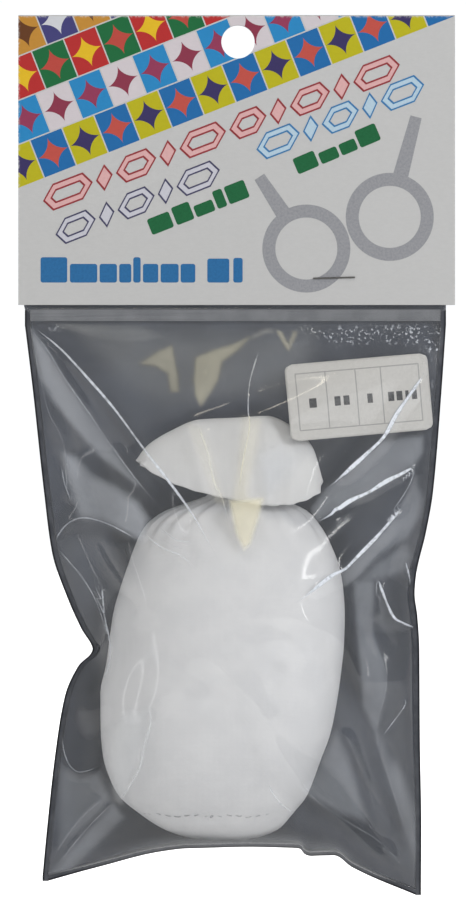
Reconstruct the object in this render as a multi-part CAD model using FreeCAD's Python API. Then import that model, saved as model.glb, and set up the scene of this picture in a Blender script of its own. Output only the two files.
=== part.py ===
"""Hanging pack of gymnast's chalk: a tied cloth sock of crushed chalk in a press-to-close film bag, under a
folded and stapled header card.

Millimetres. The origin is the centre of the hang hole. +X is to the right of someone who faces the front of the
pack, +Y points to the wall behind it, and +Z is up. The pack hangs at rest, with its films either side of y = 0.
"""

import FreeCAD, Part
import math
import os

Vec = FreeCAD.Vector

# Header card: one sheet of board folded at the top over the bag's lips
CARD_WIDTH = 131.0
CARD_CENTRE_X = -0.4
CARD_TOP = 8.1
CARD_BOTTOM = -78.9
BOARD = 0.4
CARD_GAP = 0.5
HANG_HOLE_R = 5.0

# Staple: round wire, crown on the front panel, ends clinched behind
STAPLE_CENTRE = (28.8, -70.8)
STAPLE_CROWN = 12.6
STAPLE_WIRE_R = 0.25
STAPLE_CLINCH = 4.6
STAPLE_TILT_DEG = -1.4

# Bag: 0.1 mm film, 127 mm wide
FILM = 0.1
BAG_LEFT = -64.5
BAG_RIGHT = 62.7
LIP_TOP = -54.0
LIP_OFFSET = 0.15
LIP_ABOVE_CARD_EDGE = 0.3
SEAL_WIDTH = 1.5

# Zip, just below the card
ZIP_Z = -82.0
ZIP_HALF_HEIGHT = 1.7
ZIP_HALF_THICKNESS = 0.8
ZIP_BASE = 0.25
ZIP_END_GAP = 0.3

# Stations down the bag: height, left and right edge of the film inside the seals, half gap at the edges, bulge
BAG_STATIONS = [
    (-80.4, -63.0, 61.2, 0.95, 0.0),
    (-82.5, -63.0, 61.2, 0.95, 0.0),
    (-84.5, -62.9, 61.1, 0.95, 0.0),
    (-92.0, -61.9, 60.5, 0.60, 3.5),
    (-104.0, -60.1, 59.6, 0.30, 10.5),
    (-120.0, -58.3, 58.2, 0.10, 16.8),
    (-138.0, -56.2, 56.6, 0.10, 21.5),
    (-158.0, -52.6, 52.6, 0.10, 25.5),
    (-180.0, -48.5, 52.0, 0.10, 28.0),
    (-202.0, -51.0, 53.1, 0.10, 28.0),
    (-220.0, -54.0, 53.3, 0.10, 25.0),
    (-231.5, -55.6, 53.4, 0.10, 19.0),
    (-237.5, -56.8, 53.4, 0.10, 12.0),
    (-240.6, -57.3, 53.4, 0.10, 0.0),
]
BAG_COLUMNS = 13
BULGE_POWER = 2.5
# The bottom edge hangs lower towards its corners, and the stations above it follow, down from ARCH_TOP
ARCH_TOP = -200.0
ARCH_DROP_LEFT = 9.5
ARCH_DROP_RIGHT = 14.0

# Sock: cloth tube full of chalk. Stations up from the toe: height, centre x, centre y, half width, half depth
CLOTH = 0.9
BODY_STATIONS = [
    (-239.3, -4.5, 0.0, 11.0, 2.4),
    (-236.5, -5.3, 0.0, 17.5, 7.5),
    (-231.0, -6.6, 0.0, 24.0, 13.0),
    (-222.0, -7.8, 0.0, 30.0, 19.5),
    (-208.0, -6.9, 0.0, 34.3, 24.0),
    (-192.0, -5.0, 0.0, 35.5, 25.5),
    (-175.0, -3.0, 0.0, 34.6, 25.3),
    (-160.0, -1.8, 0.0, 32.3, 22.5),
    (-148.0, -1.8, 0.0, 28.0, 17.5),
    (-141.0, -0.9, 0.0, 22.0, 13.0),
    (-137.0, 0.2, 0.0, 14.0, 9.8),
]
BODY_SECTIONS = 25
# Tail above the tie, fanned out and folded forward
TAIL_STATIONS = [
    (-130.6, 0.5, 0.0, 8.6, 8.4),
    (-128.5, -1.0, -1.5, 19.0, 8.8),
    (-125.0, -2.7, -3.0, 26.5, 10.3),
    (-119.0, -1.0, -3.0, 24.0, 9.5),
    (-114.5, 1.0, -2.0, 17.5, 7.0),
    (-112.0, 2.0, -2.0, 12.0, 3.5),
]
TAIL_SECTIONS = 15
NECK_X = 0.5
NECK_R = 8.5
NECK_TOP = -130.4
NECK_BOTTOM = -138.5
TIE_CORD_R = 0.8
TIE_CLEARANCE = 0.01
TIE_TURNS = 3
TIE_MIDDLE_Z = -133.4

# Stitches that close the toe, along the front of one station
TOE_STATION = 2
TOE_STITCHES = 11
TOE_FROM_DEG = 205.0
TOE_TO_DEG = 320.0
TOE_THREAD_R = 0.3
TOE_STITCH_SHARE = 0.62

# Date label, between the front film and the sock's tail
LABEL_WIDTH = 41.6
LABEL_HEIGHT = 22.6
LABEL_CENTRE = (35.9, -106.6)
LABEL_TILT_DEG = 5.0
LABEL_PAPER = 0.12
LABEL_BEHIND_FILM = 0.45
LABEL_CLEAR_OF_BACK = 0.25
LABEL_GRID = (9, 6)


def board_section(offset):
    """Closed outline in the YZ plane of what lies within offset of the card's middle surface gap."""
    reach = CARD_GAP / 2 + offset
    fold_z = CARD_TOP - CARD_GAP / 2 - BOARD
    low = Vec(0, -reach, CARD_BOTTOM)
    high = Vec(0, -reach, fold_z)
    top = Vec(0, 0, fold_z + reach)
    high_back = Vec(0, reach, fold_z)
    low_back = Vec(0, reach, CARD_BOTTOM)
    edges = [
        Part.makeLine(low, high),
        Part.Arc(high, top, high_back).toShape(),
        Part.makeLine(high_back, low_back),
        Part.makeLine(low_back, low),
    ]
    return Part.Face(Part.Wire(edges))


def rod(a, b, radius):
    """A round bar from point a to point b."""
    return Part.makeCylinder(radius, (b - a).Length, a, b - a)


def staple():
    """Wire staple: crown in front, legs through, ends clinched flat behind."""
    x, z = STAPLE_CENTRE
    half = STAPLE_CROWN / 2 - STAPLE_WIRE_R
    out = CARD_GAP / 2 + BOARD + STAPLE_WIRE_R
    inner = half - STAPLE_CLINCH
    points = [
        Vec(x - inner, out, z),
        Vec(x - half, out, z),
        Vec(x - half, -out, z),
        Vec(x + half, -out, z),
        Vec(x + half, out, z),
        Vec(x + inner, out, z),
    ]
    bars = [rod(a, b, STAPLE_WIRE_R) for a, b in zip(points, points[1:])]
    bends = [Part.makeSphere(STAPLE_WIRE_R, p) for p in points[1:-1]]
    wire = bars[0].fuse(bars[1:] + bends).removeSplitter()
    wire.rotate(Vec(x, 0, z), Vec(0, 1, 0), STAPLE_TILT_DEG)
    return wire


def header_card(wire):
    """Folded board with its hang hole and the staple's two punctures."""
    section = board_section(BOARD).cut(board_section(0.0))
    section.translate(Vec(CARD_CENTRE_X - CARD_WIDTH / 2, 0, 0))
    card = section.extrude(Vec(CARD_WIDTH, 0, 0))
    depth = 2 * (CARD_GAP + 2 * BOARD)
    hole = Part.makeCylinder(HANG_HOLE_R, depth, Vec(0, -depth / 2, 0), Vec(0, 1, 0))
    return card.cut(hole).cut(wire)


def bag_lip(side, wire):
    """Flat lip of one film inside the card; side is -1 for the front and 1 for the back."""
    low_z = CARD_BOTTOM + LIP_ABOVE_CARD_EDGE
    corner = Vec(BAG_LEFT, side * LIP_OFFSET - FILM / 2, low_z)
    lip = Part.makeBox(BAG_RIGHT - BAG_LEFT, FILM, LIP_TOP - low_z, corner)
    return lip.cut(wire)


def film_point(station, across):
    """Point on the inner face of the front film. across is 0 at the left edge and 1 at the right."""
    z, left, right, gap, bulge = station
    s = 2 * across - 1
    drop = ARCH_DROP_LEFT if s < 0 else ARCH_DROP_RIGHT
    bottom = BAG_STATIONS[-1][0]
    share = max(0.0, (ARCH_TOP - z) / (ARCH_TOP - bottom))
    x = left + (right - left) * across
    y = -gap - bulge * (1 - abs(s) ** BULGE_POWER)
    return Vec(x, y, z - drop * s * s * share * share)


def film_surface():
    """Smooth surface through the stations: the inner face of the front film."""
    across = [(1 - math.cos(math.pi * i / (BAG_COLUMNS - 1))) / 2 for i in range(BAG_COLUMNS)]
    surface = Part.BSplineSurface()
    surface.interpolate([[film_point(s, a) for a in across] for s in BAG_STATIONS])
    return surface


def mirrored(shape):
    """The same shape on the other side of y = 0."""
    return shape.mirror(Vec(0, 0, 0), Vec(0, 1, 0))


def seal(edge, outwards):
    """Weld of the two films along one edge of the front film, SEAL_WIDTH wide."""
    front = edge.copy()
    front.translate(Vec(0, -FILM, 0))
    back = mirrored(front)
    return Part.makeRuledSurface(front, back).extrude(outwards * SEAL_WIDTH)


def edge_seals(surface):
    """Left, right and bottom seals."""
    _, last_u, first_v, last_v = surface.bounds()
    left = seal(surface.vIso(first_v).toShape(), Vec(-1, 0, 0))
    right = seal(surface.vIso(last_v).toShape(), Vec(1, 0, 0))
    bottom = seal(surface.uIso(last_u).toShape(), Vec(0, 0, -1))
    corners = []
    for across, shift in ((0.0, -SEAL_WIDTH), (1.0, 0.0)):
        p = film_point(BAG_STATIONS[-1], across)
        thickness = -2 * (p.y - FILM)
        at = Vec(p.x + shift, p.y - FILM, p.z - SEAL_WIDTH)
        corners.append(Part.makeBox(SEAL_WIDTH, thickness, SEAL_WIDTH, at))
    return left, right, bottom.fuse(corners).removeSplitter()


def zip_strip(outline):
    """One zip strip, its outline in y and z from the zip's centre line, drawn along the bag."""
    points = [Vec(BAG_STATIONS[0][1] + ZIP_END_GAP, y, ZIP_Z + z) for y, z in outline]
    face = Part.Face(Part.makePolygon(points + points[:1]))
    length = BAG_STATIONS[0][2] - BAG_STATIONS[0][1] - 2 * ZIP_END_GAP
    return face.extrude(Vec(length, 0, 0))


def zip_groove():
    """Front strip: two jaws with inturned lips, open towards the back."""
    back = -ZIP_HALF_THICKNESS
    face = back + ZIP_BASE
    jaw_out, jaw_in, mouth = 0.95, 0.6, 0.3
    lip_start, tip = 0.1, 0.35
    upper = [
        (back, ZIP_HALF_HEIGHT),
        (face, ZIP_HALF_HEIGHT),
        (face, jaw_out),
        (tip, jaw_out),
        (tip, mouth),
        (lip_start, mouth),
        (lip_start, jaw_in),
        (face, jaw_in),
    ]
    lower = [(y, -z) for y, z in reversed(upper)]
    return zip_strip(upper + lower)


def zip_rib():
    """Back strip: a stem with an arrow head that sits in the groove."""
    back = ZIP_HALF_THICKNESS
    face = back - ZIP_BASE
    stem, head, head_back, nose = 0.18, 0.45, -0.05, -0.45
    upper = [
        (back, ZIP_HALF_HEIGHT),
        (face, ZIP_HALF_HEIGHT),
        (face, stem),
        (head_back, stem),
        (head_back, head),
        (nose, stem),
    ]
    lower = [(y, -z) for y, z in reversed(upper)]
    return zip_strip(upper + lower)


def slopes(zs, values):
    """Slopes at the stations for a smooth curve that never overshoots them."""
    steps = [(b - a) / (zb - za) for a, b, za, zb in zip(values, values[1:], zs, zs[1:])]
    inner = [2 * p * q / (p + q) if p * q > 0 else 0.0 for p, q in zip(steps, steps[1:])]
    return [steps[0]] + inner + [steps[-1]]


def at_height(stations, z):
    """The stations' other columns at height z, smoothly between them."""
    zs = [row[0] for row in stations]
    k = max(i for i in range(len(zs) - 1) if zs[i] <= z or i == 0)
    span = zs[k + 1] - zs[k]
    t = (z - zs[k]) / span
    found = []
    for values in list(zip(*stations))[1:]:
        slope = slopes(zs, values)
        found.append(
            values[k] * (1 + 2 * t) * (1 - t) ** 2
            + values[k + 1] * t * t * (3 - 2 * t)
            + span * slope[k] * t * (1 - t) ** 2
            - span * slope[k + 1] * t * t * (1 - t)
        )
    return found


def ellipse_wire(x, y, z, half_width, half_depth):
    """Level ellipse, wider along X than it is deep."""
    centre = Vec(x, y, z)
    curve = Part.Ellipse(Vec(x + half_width, y, z), Vec(x, y + half_depth, z), centre)
    return Part.Wire(curve.toShape())


def cloth_form(stations, inset, count):
    """Solid of level slices through the stations, smaller by inset all round. The slices crowd towards both ends."""
    low, high = stations[0][0], stations[-1][0]
    sections = []
    for i in range(count):
        share = (1 - math.cos(math.pi * i / (count - 1))) / 2
        x, y, half_width, half_depth = at_height(stations, low + (high - low) * share)
        level = low + inset + (high - low - 2 * inset) * share
        sections.append(ellipse_wire(x, y, level, half_width - inset, half_depth - inset))
    return Part.makeLoft(sections, True, True)


def sock_cloth(chalk):
    """Cloth of the sock: hollow body, gathered neck and folded tail in one piece."""
    neck = Part.makeCylinder(NECK_R, NECK_TOP - NECK_BOTTOM, Vec(NECK_X, 0, NECK_BOTTOM))
    body = cloth_form(BODY_STATIONS, 0.0, BODY_SECTIONS)
    tail = cloth_form(TAIL_STATIONS, 0.0, TAIL_SECTIONS)
    return body.fuse([neck, tail]).removeSplitter().cut(chalk)


def neck_tie():
    """Turns of cord wound round the neck, one above the other."""
    pitch = 2 * (TIE_CORD_R + TIE_CLEARANCE)
    low = TIE_MIDDLE_Z - pitch * (TIE_TURNS - 1) / 2
    major = NECK_R + TIE_CORD_R + TIE_CLEARANCE
    return Part.makeCompound(
        [Part.makeTorus(major, TIE_CORD_R, Vec(NECK_X, 0, low + pitch * i)) for i in range(TIE_TURNS)]
    )


def toe_seam():
    """Short stitches along the front of the toe."""
    z, x, y, half_width, half_depth = BODY_STATIONS[TOE_STATION]
    step = (TOE_TO_DEG - TOE_FROM_DEG) / TOE_STITCHES

    def at(degrees):
        angle = math.radians(degrees)
        return Vec(x + half_width * math.cos(angle), y + half_depth * math.sin(angle), z)

    starts = [TOE_FROM_DEG + step * i for i in range(TOE_STITCHES)]
    return Part.makeCompound([rod(at(a), at(a + step * TOE_STITCH_SHARE), TOE_THREAD_R) for a in starts])


def date_label(film_face):
    """Paper label that follows the inside of the front film."""
    columns, rows = LABEL_GRID
    tilt = math.radians(LABEL_TILT_DEG)
    in_front = film_face.BoundBox.YMin - 1
    grid = []
    for j in range(rows):
        v = LABEL_HEIGHT * (0.5 - j / (rows - 1))
        row = []
        for i in range(columns):
            u = LABEL_WIDTH * (i / (columns - 1) - 0.5)
            x = LABEL_CENTRE[0] + u * math.cos(tilt) - v * math.sin(tilt)
            z = LABEL_CENTRE[1] + u * math.sin(tilt) + v * math.cos(tilt)
            line = Part.makeLine(Vec(x, in_front, z), Vec(x, 0, z))
            hit = line.distToShape(film_face)[1][0][1]
            row.append(Vec(x, min(hit.y + LABEL_BEHIND_FILM, -LABEL_CLEAR_OF_BACK), z))
        grid.append(row)
    surface = Part.BSplineSurface()
    surface.interpolate(grid)
    return surface.toShape().extrude(Vec(0, LABEL_PAPER, 0))


def build():
    """Every sub-part by node name."""
    wire = staple()
    surface = film_surface()
    film_face = surface.toShape()
    front = film_face.extrude(Vec(0, -FILM, 0))
    left, right, bottom = edge_seals(surface)
    chalk = cloth_form(BODY_STATIONS, CLOTH, BODY_SECTIONS)
    return {
        "header_card": header_card(wire),
        "staple": wire,
        "front_film_lip": bag_lip(-1, wire),
        "back_film_lip": bag_lip(1, wire),
        "front_film": front,
        "back_film": mirrored(front),
        "zip_groove_strip": zip_groove(),
        "zip_rib_strip": zip_rib(),
        "left_side_seal": left,
        "right_side_seal": right,
        "bottom_seal": bottom,
        "date_label": date_label(film_face),
        "sock_cloth": sock_cloth(chalk),
        "chalk_fill": chalk,
        "neck_tie": neck_tie(),
        "toe_seam": toe_seam(),
    }


def main():
    os.makedirs("parts", exist_ok=True)
    for name, shape in build().items():
        shape.exportStep(f"parts/{name}.step")
        box = shape.BoundBox
        print(
            f"{name:18s} valid {shape.isValid()} solids {len(shape.Solids)} volume {shape.Volume:10.2f}"
            f"  x {box.XMin:.1f}..{box.XMax:.1f}  y {box.YMin:.1f}..{box.YMax:.1f}  z {box.ZMin:.1f}..{box.ZMax:.1f}"
        )


main()
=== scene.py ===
"""Looks of a hanging pack of gymnast's chalk: a tied cloth sock of crushed chalk in a press-to-close bag,
under a folded, stapled and printed header card.

The frame's axes hold: +X to the right of someone who faces the pack, +Y to the wall behind it, +Z up, and the
origin in the middle of the hang hole. Layout numbers are in millimetres. A mesh is made in metres.
"""

import math
from functools import partialmethod

import bpy
import numpy as np
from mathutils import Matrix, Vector
from mathutils.bvhtree import BVHTree
from mathutils.noise import noise


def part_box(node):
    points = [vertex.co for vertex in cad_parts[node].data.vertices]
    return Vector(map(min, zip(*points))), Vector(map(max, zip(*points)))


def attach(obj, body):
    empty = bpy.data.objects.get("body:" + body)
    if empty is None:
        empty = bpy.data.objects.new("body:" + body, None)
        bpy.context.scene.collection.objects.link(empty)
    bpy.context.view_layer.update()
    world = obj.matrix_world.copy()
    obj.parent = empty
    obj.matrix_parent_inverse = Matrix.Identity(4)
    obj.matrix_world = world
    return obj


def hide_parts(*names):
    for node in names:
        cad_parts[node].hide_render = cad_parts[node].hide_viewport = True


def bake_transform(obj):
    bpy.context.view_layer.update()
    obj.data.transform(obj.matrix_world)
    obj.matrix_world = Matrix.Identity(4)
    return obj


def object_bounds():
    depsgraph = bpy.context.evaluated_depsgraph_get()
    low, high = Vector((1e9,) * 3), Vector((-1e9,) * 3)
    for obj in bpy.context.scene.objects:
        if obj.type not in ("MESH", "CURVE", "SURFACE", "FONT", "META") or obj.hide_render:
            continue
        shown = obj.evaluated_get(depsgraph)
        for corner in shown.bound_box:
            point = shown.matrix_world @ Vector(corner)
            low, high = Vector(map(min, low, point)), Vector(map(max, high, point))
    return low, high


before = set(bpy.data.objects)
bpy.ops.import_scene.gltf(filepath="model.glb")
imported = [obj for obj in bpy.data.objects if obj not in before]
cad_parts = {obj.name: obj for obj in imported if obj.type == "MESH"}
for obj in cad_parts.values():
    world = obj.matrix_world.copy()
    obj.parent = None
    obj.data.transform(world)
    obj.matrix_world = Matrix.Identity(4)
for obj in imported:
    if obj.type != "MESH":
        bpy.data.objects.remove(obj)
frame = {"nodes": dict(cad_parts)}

CAD_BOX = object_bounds()
MM = 0.001

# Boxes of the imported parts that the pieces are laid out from, in millimetres
CARD_LOW, CARD_HIGH = (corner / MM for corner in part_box("header_card"))
ZIP_LOW, ZIP_HIGH = (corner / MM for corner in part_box("zip_groove_strip"))
LIP_LOW, LIP_HIGH = (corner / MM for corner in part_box("front_film_lip"))
TIE_LOW, TIE_HIGH = (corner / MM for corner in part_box("neck_tie"))

# Bag
FILM = 0.08
SEAL_WIDTH = 1.5
SEAL_THICKNESS = 0.24
BAG_TOP_Z = ZIP_HIGH.z - 0.1
DRAPE_TOP_Z = ZIP_LOW.z - 1.2
ZIP_FACE_Y = 1.0
SOCK_TRAVEL = 6.0
SIM_SCALE = 10.0
CLOTH_GAP = 0.004
RAY_START = 60

# Outer edge of the bag, clockwise pieces of it: (z, x) down the sides and (x, z) along the bottom
LEFT_EDGE = [
    (-80.4, -64.5), (-104.0, -61.6), (-135.0, -58.2), (-153.0, -55.8), (-167.4, -50.9), (-176.0, -47.0),
    (-182.4, -43.6), (-187.0, -47.8), (-196.0, -51.9), (-214.0, -54.9), (-235.8, -57.3), (-251.7, -58.8),
]
RIGHT_EDGE = [
    (-80.4, 62.7), (-102.6, 61.2), (-135.0, 58.5), (-147.0, 56.4), (-160.2, 53.4), (-165.6, 53.0),
    (-172.0, 53.8), (-182.0, 54.4), (-210.0, 54.6), (-235.0, 55.0), (-255.9, 54.9),
]
BOTTOM_EDGE = [
    (-58.8, -251.7), (-41.4, -246.9), (-23.4, -242.4), (-14.4, -241.2), (2.0, -240.9), (18.2, -241.3),
    (20.8, -243.7), (29.1, -243.6), (34.0, -246.9), (54.9, -255.9),
]

# Sock: height, left, right and half depth, up from the toe
SOCK_STATIONS = [
    (-239.3, -9.0, 2.0, 1.6), (-238.6, -15.0, 6.0, 4.2), (-236.1, -22.4, 12.2, 7.9),
    (-231.3, -29.8, 16.6, 12.8), (-226.5, -35.4, 20.6, 16.6), (-221.7, -38.1, 22.6, 19.4),
    (-214.5, -40.4, 25.2, 22.4), (-207.3, -41.2, 27.8, 24.0), (-195.3, -41.4, 30.2, 25.3),
    (-187.0, -39.6, 31.2, 25.4), (-180.9, -38.8, 31.7, 25.3), (-171.3, -37.4, 31.9, 24.7),
    (-164.1, -35.6, 31.5, 23.4), (-156.9, -33.2, 30.2, 21.4), (-150.0, -30.4, 27.3, 18.4),
    (-145.0, -27.0, 24.0, 15.4), (-141.0, -21.5, 20.4, 12.8), (-138.0, -13.5, 14.5, 10.2),
    (-136.0, -8.6, 9.6, 8.6), (-133.4, -7.3, 8.3, 7.8), (-130.8, -8.0, 9.0, 8.4),
]
SOCK_ROWS = 76
SOCK_COLUMNS = 112
NECK_PLEATS = 19
# Power of the sock's rounded section: 2 would be an ellipse
SOCK_SQUARENESS = 2.12
# The cloth is free to swell between these heights, by this much at most
SOCK_FREE = (-238.0, -137.0)
SOCK_SWELL = 0.6
SOCK_SIM_FRAMES = 14
SWELL_PASSES = 12
# Dents in the cloth: points (x, z), depth, reach
SOCK_CREASES = [
    ([(-27, -229.6), (-21, -231.6), (-15, -231.3), (-8, -231.9), (0, -230.4)], 0.9, 0.9),
    ([(9.5, -222), (13, -225.5), (19.5, -229)], 0.9, 1.6),
    ([(-27, -149.5), (-21, -154.5), (-14.5, -154)], 0.7, 2),
    ([(-20, -146), (-15.5, -150), (-13.5, -157.5)], 0.6, 1.8),
    ([(-31, -200), (-28, -212), (-31, -224)], 0.5, 2.6),
    ([(12, -146), (18, -152), (27, -157)], 0.5, 2.4),
]
CHALK_INSET = 2.2
CHALK_TOP_Z = -139.5

# Folded tail: for a share across the fan, the fold along its top and the hem along its foot, as (share, x, z)
TAIL_FOLD = [
    (-1.0, -29.2, -126.0), (-0.8, -26.2, -121.4), (-0.55, -19.6, -117.0), (-0.3, -11.4, -113.8),
    (0.0, -0.6, -113.3), (0.3, 8.6, -112.8), (0.55, 16.0, -115.9), (0.8, 21.4, -121.4),
    (1.0, 24.2, -131.4),
]
TAIL_HEM = [
    (-1.0, -29.2, -126.4), (-0.8, -25.0, -129.4), (-0.55, -17.0, -133.2), (-0.3, -9.0, -135.5),
    (0.0, 0.9, -137.6), (0.3, 8.6, -138.9), (0.55, 14.6, -138.7), (0.8, 20.2, -137.3),
    (1.0, 24.2, -135.2),
]
TAIL_PLEATS = [(-0.36, 0.5), (-0.14, 0.6), (0.07, 0.8), (0.3, 0.6), (0.55, 0.4)]
TAIL_COLUMNS = 121
TAIL_ROWS = 44
TAIL_CLOTH = 1.1

# Label
LABEL_SIZE = (43.0, 23.0)
LABEL_CENTRE = (36.2, -106.6)
LABEL_TILT = math.radians(5.0)
LABEL_PAPER = 0.12
LABEL_CORNER = 2.2
LABEL_GAP = 0.45
# Its printed frame: size, line width, column lines, and each bar's place, half width and half height
LABEL_FRAME = (37.0, 17.0)
LABEL_RULE = 0.35
LABEL_COLUMNS = (-9.6, -0.6, 7.0)
LABEL_BAR_RISE = -0.6
LABEL_BARS = (
    (-14.0, 1.1, 1.4), (-6.6, 0.9, 1.4), (-3.9, 0.9, 1.4), (3.2, 0.8, 1.4),
    (9.6, 0.9, 1.4), (12.1, 0.9, 1.4), (14.4, 0.5, 1.4), (16.6, 0.8, 1.4),
)

# Print on the card
PRINT_TILT = math.radians(21.5)
TILE_ALONG = 10.3
TILE_ACROSS = 12.31
TILE_FOOT = -16.84
ROW_SHIFT = (-3.15, 0.35, 7.25, -8.25)
STAR_REACH = 4.9
TILE_GAP = 0.2
STAR_POWER = 0.62
INK = 0.03
# Rings: centre (x, z) of each and the top of its strap (x, z)
RINGS = [(20.5, -62.0, 6.4, -40.5), (45.5, -52.5, 53.4, -22.5)]
RING_RADIUS = 13.2
RING_BAR = 3.9
STRAP = 4.6
# Rows of shapes
SLANT = 0.36
BLOCK_GAP = 1.0
# Width of each shape, and whether it is a hollow lozenge or a filled diamond
RED_BLOCKS = [
    (16, True), (5.4, False), (13, True), (5.4, False), (15, True), (12, True), (5.4, False), (13, True),
    (5.4, False), (15, True),
]
NAVY_BLOCKS = [(13, True), (5, False), (12, True), (5, False), (14, True)]
BLUE_BLOCKS = [(14, True), (5, False), (12, True), (5, False), (14, True)]
# Width, height and gap of each plain bar
GREEN_BLOCKS_LOW = [(7.0, 5.0, 1.0), (5.6, 5.6, 0.8), (6.0, 3.6, 0.8), (3.0, 5.6, 0.8), (6.4, 5.6, 0.0)]
GREEN_BLOCKS_HIGH = [(6.8, 5.0, 0.9), (5.8, 3.6, 0.8), (5.2, 3.6, 0.8), (6.6, 5.4, 0.0)]
SKY_BLOCKS = [
    (8.0, 7.6, 0.8), (8.2, 5.6, 0.7), (5.2, 5.6, 0.7), (3.6, 5.6, 0.6), (2.2, 7.6, 0.7), (4.6, 5.6, 0.7),
    (5.4, 5.6, 0.6), (4.4, 5.6, 3.6), (6.6, 7.2, 1.2), (2.8, 7.4, 0.0),
]

# Stage, camera and lights
FLOOR_DROP = 24.0
FLOOR_RINGS = (0.01, 80.0, 260.0, 900.0, 4000.0)
FLOOR_SIDES = 96
FLOOR_GLOW = 0.05
VIEW_DISTANCE = 1200.0
VIEW_HEIGHT = 270.0
VIEW_CENTRE = (-1.5, 0.0, -122.4)
ROOM_LIGHT = 0.40
ROOM_SEEN = 1.05
LIGHTS_AIM = (0.0, 0.0, -150.0)
WHITE, WARM = (1.0, 1.0, 1.0), (1.0, 0.93, 0.78)
# Name, place, size, power in watts, colour, and whether gloss mirrors it
LIGHTS = [
    ("key", (1000, -1000, 350), (420, 620), 7.6, (0.975, 0.985, 1.0), False),
    ("glint", (1000, -620, 260), (50, 420), 0.45, WHITE, True),
    ("overhead", (-60, -520, 900), (300, 160), 1.5, WARM, False),
    ("ceiling", (-60, -420, 900), (120, 60), 0.10, WARM, True),
    ("strip", (-1000, -700, 150), (60, 700), 0.25, WHITE, True),
    ("fill", (-900, -900, 100), (500, 500), 1.2, (1.0, 0.96, 0.9), False),
    ("back", (-500, 1300, 500), (600, 600), 7.0, WHITE, False),
]


# ---------------------------------------------------------------- numbers and curves


def smooth(t):
    """0 to 1 with no corner at either end."""
    t = np.clip(t, 0.0, 1.0)
    return t * t * (3 - 2 * t)


def through(at, stations, column=1):
    """A column of the stations at each place in at, on a smooth curve that never overshoots them."""
    rows = sorted(stations)
    x = np.array([row[0] for row in rows], float)
    y = np.array([row[column] for row in rows], float)
    step = np.diff(y) / np.diff(x)
    product = step[:-1] * step[1:]
    inner = np.where(product > 0, 2 * product / np.where(product > 0, step[:-1] + step[1:], 1), 0)
    slope = np.concatenate([[step[0]], inner, [step[-1]]])
    at = np.asarray(at, float)
    k = np.clip(np.searchsorted(x, at) - 1, 0, len(x) - 2)
    span = x[k + 1] - x[k]
    t = np.clip((at - x[k]) / span, 0, 1)
    return (
        y[k] * (1 + 2 * t) * (1 - t) ** 2
        + y[k + 1] * t * t * (3 - 2 * t)
        + span * slope[k] * t * (1 - t) ** 2
        - span * slope[k + 1] * t * t * (1 - t)
    )


def evenly(points, count):
    """count points spread evenly along a line of points."""
    points = np.asarray(points, float)
    run = np.concatenate([[0], np.cumsum(np.linalg.norm(np.diff(points, axis=0), axis=1))])
    at = np.linspace(0, run[-1], count)
    return np.stack([np.interp(at, run, points[:, i]) for i in range(points.shape[1])], axis=1)


def finer(grid, count, axis):
    """The grid with count rows (axis 0) or columns (axis 1), on smooth curves through its own."""
    grid = np.moveaxis(grid, axis, 0)
    at = np.linspace(0, len(grid) - 1, count)
    k = np.clip(at.astype(int), 0, len(grid) - 2)
    t = (at - k).reshape(-1, *[1] * (grid.ndim - 1))
    before, here = grid[np.maximum(k - 1, 0)], grid[k]
    there, after = grid[k + 1], grid[np.minimum(k + 2, len(grid) - 1)]
    rise = (there - before) / 2
    fall = (after - here) / 2
    fine = (
        here * (1 + 2 * t) * (1 - t) ** 2
        + there * t * t * (3 - 2 * t)
        + rise * t * (1 - t) ** 2
        - fall * t * t * (1 - t)
    )
    return np.moveaxis(fine, 0, axis)


def lumps(points, size, seed):
    """Smooth noise, about -1 to 1, at each point, with lumps of that size."""
    shift = Vector((seed * 7.3, seed * 3.1, seed * 5.7))
    values = [noise(Vector(p) / size + shift) for p in points.reshape(-1, 3)]
    return np.array(values).reshape(points.shape[:-1])


def line_distance(x, z, points):
    """(signed distance, share along) of each place from a line of points in the XZ plane."""
    best = np.full(x.shape, 1e9)
    share = np.zeros(x.shape)
    points = np.asarray(points, float)
    lengths = np.linalg.norm(np.diff(points, axis=0), axis=1)
    total, run = lengths.sum(), 0.0
    for a, b, length in zip(points, points[1:], lengths):
        d = (b - a) / length
        along = (x - a[0]) * d[0] + (z - a[1]) * d[1]
        held = np.clip(along, 0, length)
        across = (x - a[0]) * d[1] - (z - a[1]) * d[0]
        gap = np.hypot(x - a[0] - held * d[0], z - a[1] - held * d[1])
        closer = gap < np.abs(best)
        best = np.where(closer, np.where(across < 0, -gap, gap), best)
        share = np.where(closer, (run + held) / total, share)
        run += length
    return best, share


def inside(x, z, points):
    """True for the places inside a closed outline in the XZ plane."""
    found = np.zeros(x.shape, bool)
    for (xa, za), (xb, zb) in zip(points, points[1:] + points[:1]):
        crosses = (za > z) != (zb > z)
        at = xa + (z - za) / (zb - za if zb != za else 1e-9) * (xb - xa)
        found ^= crosses & (x < at)
    return found


# ---------------------------------------------------------------- meshes


def add_object(name, points, faces, shade_smooth=True):
    """A new mesh object. points are in millimetres."""
    mesh = bpy.data.meshes.new(name)
    mesh.from_pydata((np.asarray(points, float).reshape(-1, 3) * MM).tolist(), [], [list(f) for f in faces])
    mesh.polygons.foreach_set("use_smooth", [shade_smooth] * len(mesh.polygons))
    mesh.update()
    made = bpy.data.objects.new(name, mesh)
    bpy.context.scene.collection.objects.link(made)
    return made


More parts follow.
